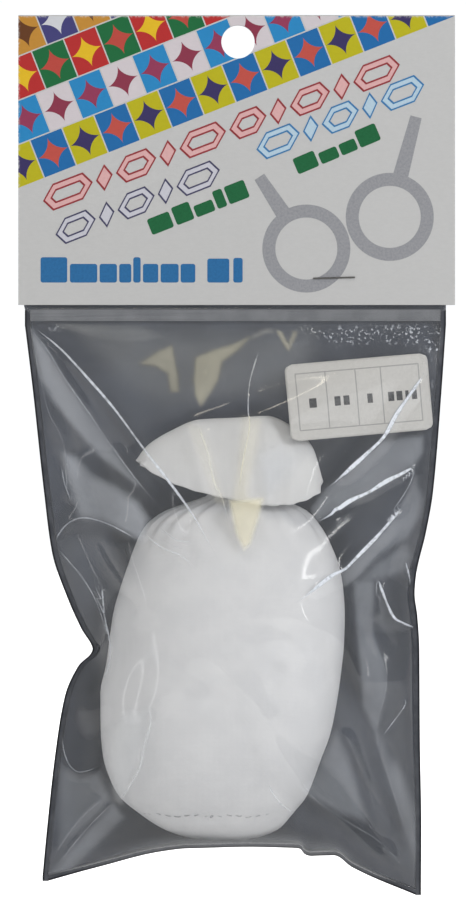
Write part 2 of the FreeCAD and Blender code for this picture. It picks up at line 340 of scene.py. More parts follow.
def grid_faces(rows, columns, closed=False, start=0, flipped=False):
    """Quads of a grid of points; closed joins its last column to its first."""
    faces = []
    for i in range(rows - 1):
        for j in range(columns if closed else columns - 1):
            k = (j + 1) % columns
            face = (
                start + i * columns + j,
                start + i * columns + k,
                start + (i + 1) * columns + k,
                start + (i + 1) * columns + j,
            )
            faces.append(face[::-1] if flipped else face)
    return faces


def add_sheet(name, grid):
    """An open sheet over a grid of points."""
    rows, columns = grid.shape[:2]
    return add_object(name, grid, grid_faces(rows, columns))


def thicken(piece, thickness, offset=0.0):
    """Gives a sheet its thickness in millimetres, and keeps its attributes."""
    solid = piece.modifiers.new("thickness", "SOLIDIFY")
    solid.thickness = thickness * MM
    solid.offset = offset
    solid.use_even_offset = False
    return settle(piece)


def settle(piece):
    """Applies a piece's modifiers."""
    graph = bpy.context.evaluated_depsgraph_get()
    final = piece.evaluated_get(graph)
    mesh = bpy.data.meshes.new_from_object(final, preserve_all_data_layers=True, depsgraph=graph)
    piece.modifiers.clear()
    piece.data = mesh
    return piece


def add_attribute(piece, name, values):
    """A number at each point, for the piece's material."""
    layer = piece.data.attributes.new(name, "FLOAT", "POINT")
    layer.data.foreach_set("value", np.asarray(values, np.float32).ravel())


def add_tube(name, line, radius, sides=12, strands=0, twist=0.0):
    """A closed tube round a line of points. strands and twist give a laid cord's surface; radius may vary."""
    line = np.asarray(line, float)
    count = len(line)
    radii = np.broadcast_to(radius, count)
    ahead = np.gradient(line, axis=0)
    ahead /= np.linalg.norm(ahead, axis=1)[:, None]
    side = np.cross(ahead[0], (0.31, 0.17, 0.93))
    points, run = [], 0.0
    for i in range(count):
        side = side - ahead[i] * (side @ ahead[i])
        side /= np.linalg.norm(side)
        other = np.cross(ahead[i], side)
        run += np.linalg.norm(line[i] - line[i - 1]) if i else 0.0
        for j in range(sides):
            angle = 2 * math.pi * j / sides
            lay = 1 + (0.16 * math.cos(strands * (angle - twist * run)) if strands else 0.0)
            points.append(line[i] + radii[i] * lay * (side * math.cos(angle) + other * math.sin(angle)))
    faces = grid_faces(count, sides, closed=True)
    faces.append(tuple(range(sides)))
    faces.append(tuple((count - 1) * sides + j for j in reversed(range(sides))))
    return add_object(name, points, faces)


def joined(name, parts):
    """One object from several."""
    points, faces, start = [], [], 0
    for part in parts:
        mesh = part.data
        co = np.zeros(len(mesh.vertices) * 3, np.float32)
        mesh.vertices.foreach_get("co", co)
        points.append(co.reshape(-1, 3) / MM)
        faces += [tuple(start + v for v in p.vertices) for p in mesh.polygons]
        start += len(mesh.vertices)
        bpy.data.objects.remove(part)
    return add_object(name, np.concatenate(points), faces)


def surface_at(tree, x, z, side):
    """Where a ray along Y from that side's outside first meets the tree's surfaces, or None."""
    return tree.ray_cast(Vector((x, side * RAY_START, z)), Vector((0, -side, 0)))[0]


def tree_of(pieces):
    """A tree for casting rays at the pieces, in millimetres."""
    points, faces, start = [], [], 0
    for piece in pieces:
        points += [v.co / MM for v in piece.data.vertices]
        faces += [[start + v for v in p.vertices] for p in piece.data.polygons]
        start = len(points)
    return BVHTree.FromPolygons(points, faces)


# ---------------------------------------------------------------- materials


class Number:
    """A number in a node tree, so that sums can be written as sums."""

    def __init__(self, shader, socket):
        self.shader = shader
        self.socket = socket

    def made(self, operation, *others):
        """The result of a Math node on this number and the others."""
        node = self.shader.tree.nodes.new("ShaderNodeMath")
        node.operation = operation
        for slot, value in zip(node.inputs, (self, *others)):
            self.shader.feed(slot, value)
        return Number(self.shader, node.outputs[0])

    __add__ = partialmethod(made, "ADD")
    __sub__ = partialmethod(made, "SUBTRACT")
    __mul__ = partialmethod(made, "MULTIPLY")
    floor = partialmethod(made, "FLOOR")
    fraction = partialmethod(made, "FRACT")
    size = partialmethod(made, "ABSOLUTE")
    power = partialmethod(made, "POWER")
    above = partialmethod(made, "GREATER_THAN")
    below = partialmethod(made, "LESS_THAN")

    def ramp(self, low, high, start=0.0, end=1.0):
        """start at low and less, end at high and more, smoothly between."""
        node = self.shader.tree.nodes.new("ShaderNodeMapRange")
        node.interpolation_type = "SMOOTHSTEP"
        for slot, value in zip(node.inputs, (self, low, high, start, end)):
            self.shader.feed(slot, value)
        return Number(self.shader, node.outputs[0])


class Shader:
    """A material and short calls for what the materials share."""

    def __init__(self, name):
        self.material = bpy.data.materials.new(name)
        self.material.use_nodes = True
        self.tree = self.material.node_tree
        self.tree.nodes.clear()
        self.place = None

    def feed(self, slot, value):
        if isinstance(value, Number):
            value = value.socket
        if isinstance(value, bpy.types.NodeSocket):
            self.tree.links.new(value, slot)
        elif slot.type == "RGBA" and len(value) == 3:
            slot.default_value = (*value, 1.0)
        else:
            slot.default_value = value

    def add(self, kind, inputs=None, **settings):
        node = self.tree.nodes.new(kind)
        for key, value in settings.items():
            setattr(node, key, value)
        for key, value in (inputs or {}).items():
            self.feed(node.inputs[key], value)
        return node

    def position(self):
        """The place on the object, in millimetres."""
        if self.place is None:
            where = self.add("ShaderNodeTexCoord").outputs["Object"]
            scaled = self.add("ShaderNodeVectorMath", {0: where, 1: (1 / MM,) * 3}, operation="MULTIPLY")
            self.place = scaled.outputs[0]
        return self.place

    def axes(self):
        split = self.add("ShaderNodeSeparateXYZ", {0: self.position()})
        return [Number(self, socket) for socket in split.outputs]

    def stretched(self, scale):
        """The place with each axis scaled, for grain that runs one way."""
        node = self.add("ShaderNodeVectorMath", {0: self.position(), 1: scale}, operation="MULTIPLY")
        return node.outputs[0]

    def noise(self, size, detail=3.0, where=None, roughness=0.5):
        """Noise from about 0 to 1 with lumps of that size in millimetres."""
        place = where or self.position()
        settings = {"Vector": place, "Scale": 1 / size, "Detail": detail, "Roughness": roughness}
        return Number(self, self.add("ShaderNodeTexNoise", settings).outputs["Fac"])

    def attribute(self, name):
        return Number(self, self.add("ShaderNodeAttribute", attribute_name=name).outputs["Fac"])

    def mix(self, share, a, b):
        """Colour a where share is 0 and b where it is 1."""
        node = self.add("ShaderNodeMix", data_type="RGBA")
        self.feed(node.inputs[0], share)
        self.feed(node.inputs[6], a)
        self.feed(node.inputs[7], b)
        return node.outputs[2]

    def bump(self, height, depth, strength=1.0, normal=None):
        """A surface normal from a height of 0 to 1 that is depth millimetres deep."""
        inputs = {"Height": height, "Distance": depth * MM, "Strength": strength}
        if normal is not None:
            inputs["Normal"] = normal
        return self.add("ShaderNodeBump", inputs).outputs[0]

    def surface(self, colour, roughness, normal=None, **more):
        """A Principled surface with that colour and roughness."""
        node = self.add("ShaderNodeBsdfPrincipled", {"Base Color": colour, "Roughness": roughness})
        if normal is not None:
            self.feed(node.inputs["Normal"], normal)
        for key, value in more.items():
            self.feed(node.inputs[key.replace("_", " ")], value)
        return node.outputs[0]

    def blend_shaders(self, share, a, b):
        node = self.add("ShaderNodeMixShader", {0: share})
        self.feed(node.inputs[1], a)
        self.feed(node.inputs[2], b)
        return node.outputs[0]

    def done(self, surface):
        out = self.add("ShaderNodeOutputMaterial")
        self.feed(out.inputs["Surface"], surface)
        return self.material


def paint(piece, material):
    piece.data.materials.clear()
    piece.data.materials.append(material)


def srgb(red, green, blue):
    """Linear colour from 0 to 255 display values."""
    parts = (c / 255 for c in (red, green, blue))
    return tuple(c / 12.92 if c <= 0.04045 else ((c + 0.055) / 1.055) ** 2.4 for c in parts)


TILE_COLOURS = [
    # row from the lowest up: ground and star of the even tiles, then of the odd ones
    (srgb(190, 182, 30), srgb(60, 52, 100), srgb(34, 108, 172), srgb(196, 84, 74)),
    (srgb(214, 206, 211), srgb(142, 56, 78), srgb(44, 138, 198), srgb(150, 60, 92)),
    (srgb(186, 48, 48), srgb(232, 190, 40), srgb(30, 108, 62), srgb(190, 76, 66)),
    (srgb(70, 68, 124), srgb(214, 216, 222), srgb(198, 142, 58), srgb(104, 62, 34)),
]
CARD_WHITE = srgb(200, 200, 200)
RED_INK, NAVY_INK, BLUE_INK = srgb(158, 58, 64), srgb(74, 72, 104), srgb(58, 128, 184)
GREEN_INK, SKY_INK, RINGS_INK = srgb(28, 104, 62), srgb(44, 112, 168), srgb(157, 158, 163)
# Colour, ends of the row's foot (x, z), shapes, height, stroke, line, ink of the lines and of the bands
OUTLINED_ROWS = (
    ("red", (-58.4, -51.8), (54.0, -8.8), RED_BLOCKS, 7.6, 2.3, 0.5, RED_INK, srgb(226, 178, 178)),
    ("navy", (-54.6, -61.8), (-1.8, -40.9), NAVY_BLOCKS, 7.4, 2.1, 0.45, NAVY_INK, srgb(206, 206, 216)),
    ("blue", (5.6, -36.4), (60.2, -15.2), BLUE_BLOCKS, 7.6, 2.1, 0.45, BLUE_INK, srgb(188, 212, 228)),
)
# Name, ends of the row's foot (x, z), bars and ink
SOLID_ROWS = (
    ("print_green_row_low", (-25.6, -58.0), (7.6, -44.9), GREEN_BLOCKS_LOW, GREEN_INK),
    ("print_green_row_high", (18.2, -39.8), (45.0, -28.4), GREEN_BLOCKS_HIGH, GREEN_INK),
    ("print_sky_row", (-59.2, -72.2), (-3.0, -72.2), SKY_BLOCKS, SKY_INK),
)


def card_material():
    """White board, printed on its front with rows of coloured tiles that climb to the right."""
    s = Shader("card_board")
    x, y, z = s.axes()
    run, rise = math.cos(PRINT_TILT), math.sin(PRINT_TILT)
    along = x * run + z * rise
    across = (z * run - x * rise - TILE_FOOT) * (1 / TILE_ACROSS)
    row = across.floor()
    colour = CARD_WHITE
    for index, (even, even_star, odd, odd_star) in enumerate(TILE_COLOURS):
        cell = (along + ROW_SHIFT[index]) * (1 / TILE_ALONG)
        u = (cell.fraction() - 0.5) * TILE_ALONG
        v = (across.fraction() - 0.5) * TILE_ACROSS
        reach_u = (u.size() * (1 / STAR_REACH)).power(STAR_POWER)
        reach_v = (v.size() * (1 / STAR_REACH)).power(STAR_POWER)
        star = (reach_u + reach_v).below(1.0)
        is_odd = (cell.floor() * 0.5).fraction().above(0.25)
        ground = s.mix(is_odd, even, odd)
        figure = s.mix(is_odd, even_star, odd_star)
        tile = s.mix(star, ground, figure)
        solid = u.size().below(TILE_ALONG / 2 - TILE_GAP) * v.size().below(TILE_ACROSS / 2 - TILE_GAP)
        here = (row - index).size().below(0.5)
        colour = s.mix(here * solid, colour, tile)
    front = y.below(CARD_LOW.y + 0.05)
    fibres = s.noise(1.6, 6.0, s.stretched((1.0, 1.0, 2.6)), 0.65)
    mottle = s.noise(22.0, 3.0)
    board = s.mix(mottle.ramp(0.3, 0.7), CARD_WHITE, srgb(198, 198, 200))
    colour = s.mix(front, board, colour)
    half_width = (CARD_HIGH.x - CARD_LOW.x) / 2
    from_middle = (x - (CARD_LOW.x + CARD_HIGH.x) / 2).size()
    scuff = from_middle.ramp(half_width - 0.7, half_width - 0.1)
    top = z.ramp(CARD_HIGH.z - 1.2, CARD_HIGH.z - 0.2)
    worn = (scuff + top) * s.noise(0.8, 4.0).ramp(0.42, 0.62)
    colour = s.mix(worn * 0.55, colour, srgb(216, 215, 213))
    tint = fibres.ramp(0.3, 0.7, 0.965, 1.0)
    shade = s.add("ShaderNodeMix", data_type="RGBA", blend_type="MULTIPLY")
    s.feed(shade.inputs[0], 1.0)
    s.feed(shade.inputs[6], colour)
    grey = s.add("ShaderNodeCombineColor")
    for slot in grey.inputs:
        s.feed(slot, tint)
    s.feed(shade.inputs[7], grey.outputs[0])
    normal = s.bump(fibres, 0.02, 0.5)
    return s.done(s.surface(shade.outputs[2], worn * 0.2 + 0.55, normal, Specular_IOR_Level=0.3))


def ink_material(name, colour, deeper):
    """Printing ink with slightly uneven cover."""
    s = Shader(name)
    cover = s.noise(0.7, 4.0, roughness=0.7)
    tone = s.mix(cover.ramp(0.35, 0.7), colour, deeper)
    return s.done(s.surface(tone, 0.5, s.bump(cover, 0.01, 0.4), Specular_IOR_Level=0.35))


def steel_material():
    """Drawn steel wire."""
    s = Shader("staple_wire")
    drawn = s.noise(0.5, 4.0, s.stretched((0.08, 3.0, 3.0)), 0.7)
    tone = s.mix(drawn, (0.14, 0.14, 0.135), (0.30, 0.295, 0.28))
    rough = drawn.ramp(0.3, 0.7, 0.22, 0.42)
    return s.done(s.surface(tone, rough, s.bump(drawn, 0.01, 0.5), Metallic=1.0))


def cotton_material(name, light, dark):
    """White knitted cotton with chalk worked into it: fine ribs, soft nap, pale dusty patches."""
    s = Shader(name)
    x, y, z = s.axes()
    wales = (x * 3.6).made("SINE") * 0.5 + 0.5
    courses = (z * 4.4 + y * 1.3).made("SINE") * 0.5 + 0.5
    knit = wales * courses
    nap = s.noise(0.5, 5.0, roughness=0.7)
    dust = s.noise(9.0, 4.0, roughness=0.6)
    fine = s.noise(2.4, 4.0)
    tone = s.mix(dust.ramp(0.35, 0.68), dark, light)
    # Slightly darker in the hollows of the knit: painted shade.
    tone = s.mix(knit.ramp(0.0, 0.5, 0.02, 0.0), tone, (0.42, 0.43, 0.45))
    normal = s.bump(knit, 0.03, 0.4)
    normal = s.bump(nap, 0.06, 0.4, normal)
    normal = s.bump(fine, 0.2, 0.3, normal)
    sheen = {"Sheen_Weight": 0.25, "Sheen_Roughness": 0.5}
    return s.done(s.surface(tone, 0.88, normal, Specular_IOR_Level=0.2, **sheen))


def cord_material():
    """Undyed cotton cord, its fibres along the lay."""
    s = Shader("tie_cord")
    fibre = s.noise(0.35, 5.0, roughness=0.75)
    tone = s.mix(fibre.ramp(0.3, 0.75), (0.34, 0.32, 0.28), (0.72, 0.70, 0.65))
    return s.done(s.surface(tone, 0.9, s.bump(fibre, 0.12, 0.7), Sheen_Weight=0.2))


def thread_material():
    """Grey sewing thread."""
    s = Shader("seam_thread")
    fibre = s.noise(0.2, 4.0)
    tone = s.mix(fibre.ramp(0.3, 0.7), (0.33, 0.33, 0.35), (0.55, 0.55, 0.57))
    return s.done(s.surface(tone, 0.85, s.bump(fibre, 0.05, 0.6)))


def chalk_material():
    """Crushed white chalk."""
    s = Shader("chalk")
    grain = s.noise(1.2, 6.0, roughness=0.8)
    clod = s.noise(6.0, 4.0)
    tone = s.mix(clod.ramp(0.3, 0.7), (0.70, 0.71, 0.73), (0.88, 0.88, 0.88))
    return s.done(s.surface(tone, 0.97, s.bump(grain, 0.5, 0.8), Specular_IOR_Level=0.1))


def seal_material():
    """Welded edge of the bag: doubled film, embossed with a fine ribbed bar."""
    s = Shader("seal_film")
    x, _, z = s.axes()
    ribs = ((x + z) * 5.2).made("SINE") * 0.5 + 0.5
    patchy = s.noise(4.0, 4.0)
    rim = s.attribute("rim")
    tone = s.mix(patchy.ramp(0.3, 0.7), (0.05, 0.054, 0.066), (0.085, 0.09, 0.105))
    # Darker towards the outer rim: a painted dark outline of shade along the bag's edge.
    tone = s.mix(rim.ramp(0.55, 0.85), tone, (0.016, 0.016, 0.02))
    normal = s.bump(ribs, 0.02, 0.5)
    shine = rim.ramp(0.35, 0.75, 0.5, 0.12)
    return s.done(s.surface(tone, 0.35, normal, IOR=1.5, Specular_IOR_Level=shine))


def zip_material():
    """Extruded film plastic: cloudy, with fine die lines along it."""
    s = Shader("zip_plastic")
    lines = s.noise(0.35, 3.0, s.stretched((0.01, 1.0, 1.0)))
    cloud = s.noise(7.0, 3.0)
    tone = s.mix(cloud.ramp(0.3, 0.7), (0.15, 0.156, 0.172), (0.21, 0.217, 0.232))
    normal = s.bump(lines, 0.05, 0.6)
    return s.done(s.surface(tone, lines.ramp(0.3, 0.7, 0.24, 0.4), normal, IOR=1.5))


def film_gloss(s, base, normal, roughness):
    """base with a film's clear gloss over it, the same from either side."""
    facing = Number(s, s.add("ShaderNodeLayerWeight", {"Blend": 0.5, "Normal": normal}).outputs["Facing"])
    settings = {"Color": (1, 1, 1), "Roughness": roughness, "Normal": normal}
    gloss = s.add("ShaderNodeBsdfGlossy", settings).outputs[0]
    return s.blend_shaders(facing.power(5.0) * 0.9 + 0.045, base, gloss)


def clear_film_material():
    """Clear film, milky where it is stretched. Its pale patches are partly painted reflections of soft
    lights, its creases carry painted highlights, and its dimples painted glints.
    """
    s = Shader("clear_film")
    # Pale patches: painted reflections of soft lights on tilted facets, partly milky film.
    haze_and_reflection = s.attribute("haze_and_reflection")
    line = s.attribute("crease")
    power = s.attribute("crease_glint_power")
    grain = s.noise(1.1, 4.0, roughness=0.6)
    wander = s.noise(9.0, 2.0)
    width = power * 0.42 + 0.05
    sharp = line.size().made("DIVIDE", width).ramp(0.45, 1.25, 1.0, 0.0)
    broken = grain.ramp(0.30, 0.62, 0.45, 1.0)
    # Painted highlight along each crease, partly white from stretching.
    crease = sharp * power * broken
    # Painted glints of tiny crumples where the film is dimpled.
    dimple_glints = s.noise(0.9, 3.0).ramp(0.56, 0.66, 0.0, 0.5) * s.attribute("dimples")
    # Milk with painted light: painted reflections in the patches, painted crease highlights and painted
    # dimple glints.
    milk_and_glints = haze_and_reflection * wander.ramp(0.2, 0.8, 0.85, 1.12) + 0.022 + crease * 0.85 + dimple_glints
    normal = s.bump(s.noise(9.0, 1.0), 0.15, 0.5)
    clear = s.add("ShaderNodeBsdfTransparent", {"Color": (0.985, 0.985, 0.985)}).outputs[0]
    shine = film_gloss(s, clear, normal, 0.12)
    # Cream where the painted reflection of a warm lamp lies.
    tone = s.mix(s.attribute("warm_reflection"), (0.84, 0.88, 0.95), (0.97, 0.92, 0.72))
    white = s.surface(tone, 0.35, normal, Specular_IOR_Level=0.6)
    return s.done(s.blend_shaders(milk_and_glints.made("MINIMUM", 0.97), shine, white))


def smoke_film_material():
    """Dark grey film that lets little light through."""
    s = Shader("smoke_film")
    haze_and_reflection = s.attribute("haze_and_reflection")
    cloud = s.noise(20.0, 2.0)
    tone = s.mix(cloud.ramp(0.3, 0.7), (0.035, 0.042, 0.062), (0.062, 0.073, 0.102))
    # Paler grey in the listed patches.
    tone = s.mix(haze_and_reflection * 0.5, tone, (0.30, 0.31, 0.33))
    normal = s.bump(s.noise(12.0, 1.0), 0.2, 0.5)
    body = s.surface(tone, 0.26, normal, IOR=1.5)
    clear = s.add("ShaderNodeBsdfTransparent", {"Color": (0.9, 0.9, 0.92)}).outputs[0]
    return s.done(s.blend_shaders(0.97, clear, body))


def label_material():
    """Matt paper label: a thin ruled frame with four cells, and dark bars of print in them."""
    s = Shader("label_paper")
    x, _, z = s.axes()
    run, rise = math.cos(LABEL_TILT), math.sin(LABEL_TILT)
    u = (x - LABEL_CENTRE[0]) * run + (z - LABEL_CENTRE[1]) * rise
    v = (z - LABEL_CENTRE[1]) * run - (x - LABEL_CENTRE[0]) * rise
    half_u, half_v = LABEL_FRAME[0] / 2, LABEL_FRAME[1] / 2
    rule = LABEL_RULE / 2
    on_sides = (u.size() - half_u).size().below(rule) * v.size().below(half_v + rule)
    on_ends = (v.size() - half_v).size().below(rule) * u.size().below(half_u + rule)
    ruled = on_sides.made("MAXIMUM", on_ends)
    for at in LABEL_COLUMNS:
        ruled = ruled.made("MAXIMUM", (u - at).size().below(rule) * v.size().below(half_v))
    bars = None
    for at, half_width, half_height in LABEL_BARS:
        bar = (u - at).size().below(half_width) * (v - LABEL_BAR_RISE).size().below(half_height)
        bars = bar if bars is None else bars.made("MAXIMUM", bar)
    paper = s.noise(0.9, 5.0, roughness=0.7)
    tone = s.mix(paper.ramp(0.3, 0.7), srgb(210, 208, 204), srgb(219, 217, 213))
    tone = s.mix(ruled * 0.55, tone, srgb(120, 120, 122))
    tone = s.mix(bars * paper.ramp(0.2, 0.5, 0.75, 0.95), tone, srgb(44, 44, 48))
    return s.done(s.surface(tone, 0.6, s.bump(paper, 0.015, 0.5), Specular_IOR_Level=0.3))


# ---------------------------------------------------------------- cloth simulation


def simulate(
    piece, pinned, frames, gravity=(0.0, 0.0, 0.0), obstacles=(), rest=None, pressure=0.0, **settings
):
    """Points, in millimetres, of a copy of the piece after Blender's Cloth at SIM_SCALE times its size."""
    scene = bpy.context.scene
    copy = piece.copy()
    copy.data = piece.data.copy()
    scene.collection.objects.link(copy)
    start = points_of(piece) * MM * SIM_SCALE
    copy.data.vertices.foreach_set("co", start.astype(np.float32).ravel())
    held = copy.vertex_groups.new(name="held")
    held.add([int(i) for i in pinned], 1.0, "REPLACE")
    cloth = copy.modifiers.new("cloth", "CLOTH")
    cloth.settings.vertex_group_mass = "held"
    for key, value in settings.items():
        setattr(cloth.settings, key, value)
    if rest is not None:
        copy.shape_key_add(name="Basis")
        flat = copy.shape_key_add(name="flat")
        flat.data.foreach_set("co", (rest * MM * SIM_SCALE).astype(np.float32).ravel())
        flat.value = 0.0
        cloth.settings.rest_shape_key = flat
    if pressure:
        cloth.settings.use_pressure = True
        cloth.settings.uniform_pressure_force = pressure
    cloth.collision_settings.use_collision = bool(obstacles)
    cloth.collision_settings.distance_min = CLOTH_GAP
    cloth.point_cache.frame_start = 1
    cloth.point_cache.frame_end = frames
    scene.gravity = gravity
    scene.frame_start, scene.frame_end = 1, frames
    for frame_number in range(1, frames + 1):
        scene.frame_set(frame_number)
    evaluated = copy.evaluated_get(bpy.context.evaluated_depsgraph_get())
    found = points_of(evaluated) / SIM_SCALE
    mesh = copy.data
    bpy.data.objects.remove(copy)
    bpy.data.meshes.remove(mesh)
    scene.frame_set(1)
    return found


def points_of(piece):
    """A mesh's points in millimetres."""
    co = np.zeros(len(piece.data.vertices) * 3, np.float32)
    piece.data.vertices.foreach_get("co", co)
    return co.reshape(-1, 3).astype(float) / MM


def set_points(piece, points):
    piece.data.vertices.foreach_set("co", (points * MM).astype(np.float32).ravel())
    piece.data.update()


def collision_copies(pieces, lift):
    """Collision objects at simulation size, in the shapes of the pieces, lifted by that many millimetres."""
    copies = []
    for piece in pieces:
        copy = piece.copy()
        copy.data = piece.data.copy()
        points = (points_of(piece) + (0.0, 0.0, lift)) * MM * SIM_SCALE
        copy.data.vertices.foreach_set("co", points.astype(np.float32).ravel())
        bpy.context.scene.collection.objects.link(copy)
        copy.modifiers.new("collision", "COLLISION")
        copy.collision.thickness_outer = CLOTH_GAP
        copy.collision.cloth_friction = 4.0
        copies.append(copy)
    return copies


# ---------------------------------------------------------------- sock


def sock_rings(rows, columns, inset=0.0):
    """Grid of points round the sock's body and neck, from the toe up."""
    low, high = SOCK_STATIONS[0][0], SOCK_STATIONS[-1][0]
    share = (1 - np.cos(np.pi * np.linspace(0, 1, rows) ** 0.9)) / 2
    z = low + (high - low) * share
    left = through(z, SOCK_STATIONS, 1)
    right = through(z, SOCK_STATIONS, 2)
    depth = through(z, SOCK_STATIONS, 3)
    angle = np.linspace(0, 2 * np.pi, columns, endpoint=False)
    c, s = np.cos(angle), np.sin(angle)
    plump = 2 / SOCK_SQUARENESS
    across = np.sign(c) * np.abs(c) ** plump
    through_it = np.sign(s) * np.abs(s) ** plump
    middle, half = (left + right) / 2, (right - left) / 2
    grid = np.zeros((rows, columns, 3))
    grid[..., 0] = middle[:, None] + (half - inset)[:, None] * across
    grid[..., 1] = (depth - inset)[:, None] * through_it
    grid[..., 2] = z[:, None]
    return grid, angle


def pleat_depth(grid, angle):
    """How far each point of the body moves out for the gathers below the tie."""
    z = grid[..., 2]
    near = smooth((z + 156) / 15) * (1 - 0.45 * smooth((z + 139) / 5))
    turn = NECK_PLEATS * angle + 1.1 * np.sin(3 * angle + 0.7) + 0.8 * np.sin(5 * angle)
    fold = np.sin(turn)[None, :] + 0.4 * np.sin(2.3 * turn + 1.0)[None, :] * smooth((z + 147) / 6)
    reach = smooth((z + 158 + 6 * np.sin(2 * angle + 1.3)[None, :]) / 20)
    return 0.75 * near * reach * fold


def outward(grid):
    """Unit vectors away from the body's upright axis line."""
    middle = grid.mean(axis=1, keepdims=True)
    away = grid - middle
    away[..., 2] = 0
    return away / np.maximum(np.linalg.norm(away, axis=2, keepdims=True), 1e-6)


def close_rings(name, grid):
    """A closed form from rings of points, with both end rings filled by fans."""
    rows, columns = grid.shape[:2]
    points = np.concatenate([grid.reshape(-1, 3), [grid[0].mean(axis=0)], [grid[-1].mean(axis=0)]])
    faces = grid_faces(rows, columns, closed=True)
    low, high = rows * columns, rows * columns + 1
    for j in range(columns):
        k = (j + 1) % columns
        faces.append((low, k, j))
        faces.append((high, (rows - 1) * columns + j, (rows - 1) * columns + k))
    return add_object(name, points, faces)


def make_sock():
    """Body and neck of the sock: plump with chalk, gathered under the tie, closed at the toe."""
    grid, angle = sock_rings(SOCK_ROWS, SOCK_COLUMNS)
    away = outward(grid)
    grid = grid + away * pleat_depth(grid, angle)[..., None]
    body = close_rings("sock_body", grid)
    start = points_of(body)
    ends = np.where((start[:, 2] > SOCK_FREE[1]) | (start[:, 2] < SOCK_FREE[0]))[0]
    filled = simulate(
        body, ends, SOCK_SIM_FRAMES, pressure=1.6, tension_stiffness=12.0, compression_stiffness=6.0,
        shear_stiffness=5.0, bending_stiffness=0.6, mass=0.3, quality=6, air_damping=2.0,
    )
    move = filled - start
    rings = move[: grid[..., 0].size].reshape(grid.shape)
    for _ in range(SWELL_PASSES):
        rings = (np.roll(rings, 1, 1) + np.roll(rings, -1, 1) + 2 * rings) / 4
        rings[1:-1] = (rings[:-2] + rings[2:] + 2 * rings[1:-1]) / 4
    move[: grid[..., 0].size] = rings.reshape(-1, 3)
    most = np.linalg.norm(move, axis=1).max()
    set_points(body, start + move * min(1.0, SOCK_SWELL / max(most, 1e-6)))
    points = points_of(body)
    away = points - (points[:, 0].mean(), 0.0, 0.0)
    away[:, 2] = 0
    away /= np.maximum(np.linalg.norm(away, axis=1, keepdims=True), 1e-6)
    body_share = smooth((-139 - points[:, 2]) / 14)
    soft = 0.35 * lumps(points, 26.0, 1) + 0.10 * lumps(points, 10.0, 2) + 0.04 * lumps(points, 4.0, 3)
    move = soft * body_share
    for line, depth, reach in SOCK_CREASES:
        gap, share = line_distance(points[:, 0], points[:, 2], line)
        fade = np.sin(np.pi * np.clip(share, 0.03, 0.97)) ** 0.5
        front = points[:, 1] < 0
        move -= np.where(front, depth * fade * np.exp(-((gap / reach) ** 2)), 0)
    set_points(body, points + away * move[:, None])
    return body


def make_tail():
    """Tail of the sock above the tie: gathered, fanned out, and folded forward over the neck."""
    share = np.linspace(-1, 1, TAIL_COLUMNS)
    neck_x, neck_z = (TIE_LOW.x + TIE_HIGH.x) / 2, TIE_HIGH.z
    fold_x, fold_z = through(share, TAIL_FOLD, 1), through(share, TAIL_FOLD, 2)
    hem_x, hem_z = through(share, TAIL_HEM, 1), through(share, TAIL_HEM, 2)
    flat = 1 - share**2
    root = np.stack([neck_x + 6.6 * share, 3.2 * np.sqrt(flat) - 0.5, np.full_like(share, neck_z - 0.6)], 1)
    back = np.stack(
        [root[:, 0] * 0.55 + fold_x * 0.45, 1.2 + 3.0 * flat, root[:, 2] * 0.45 + fold_z * 0.55], 1
    )
    crown = np.stack([fold_x, -3.4 - 2.0 * share**2, fold_z], 1)
    front = np.stack(
        [fold_x * 0.52 + hem_x * 0.48, -8.4 - 4.2 * flat**0.7, fold_z * 0.46 + hem_z * 0.54 + 0.8 * flat], 1
    )
    hem = np.stack([hem_x, -9.6 - 4.6 * flat**0.7, hem_z], 1)
    chain = np.stack([root, back, crown, front, hem])
    grid = finer(chain, TAIL_ROWS, 0)
    along = np.linspace(0, 1, TAIL_ROWS)[:, None]
    in_front = smooth((along - 0.42) / 0.25)
    ripple = np.zeros((TAIL_ROWS, TAIL_COLUMNS))
    for at, height in TAIL_PLEATS:
        gap = np.abs(share - at - 0.03 * np.sin(4 * along + 9 * at)) / 0.11
        ripple += height * np.maximum(0, 1 - gap) ** 1.3 * (0.35 + 0.65 * along)
    grid[..., 1] -= ripple * in_front
    grid[..., 1] += ripple[:, ::-1] * (1 - in_front) * 0.8
    grid[..., 2] -= in_front * smooth((along - 0.8) / 0.2) * 0.12 * np.sin(31 * share + 2)[None, :]
    grid[..., 1] += 0.25 * lumps(grid, 8.0, 4) + 0.05 * lumps(grid, 2.5, 5)
    tail = add_sheet("sock_tail", grid)
    return thicken(tail, TAIL_CLOTH)


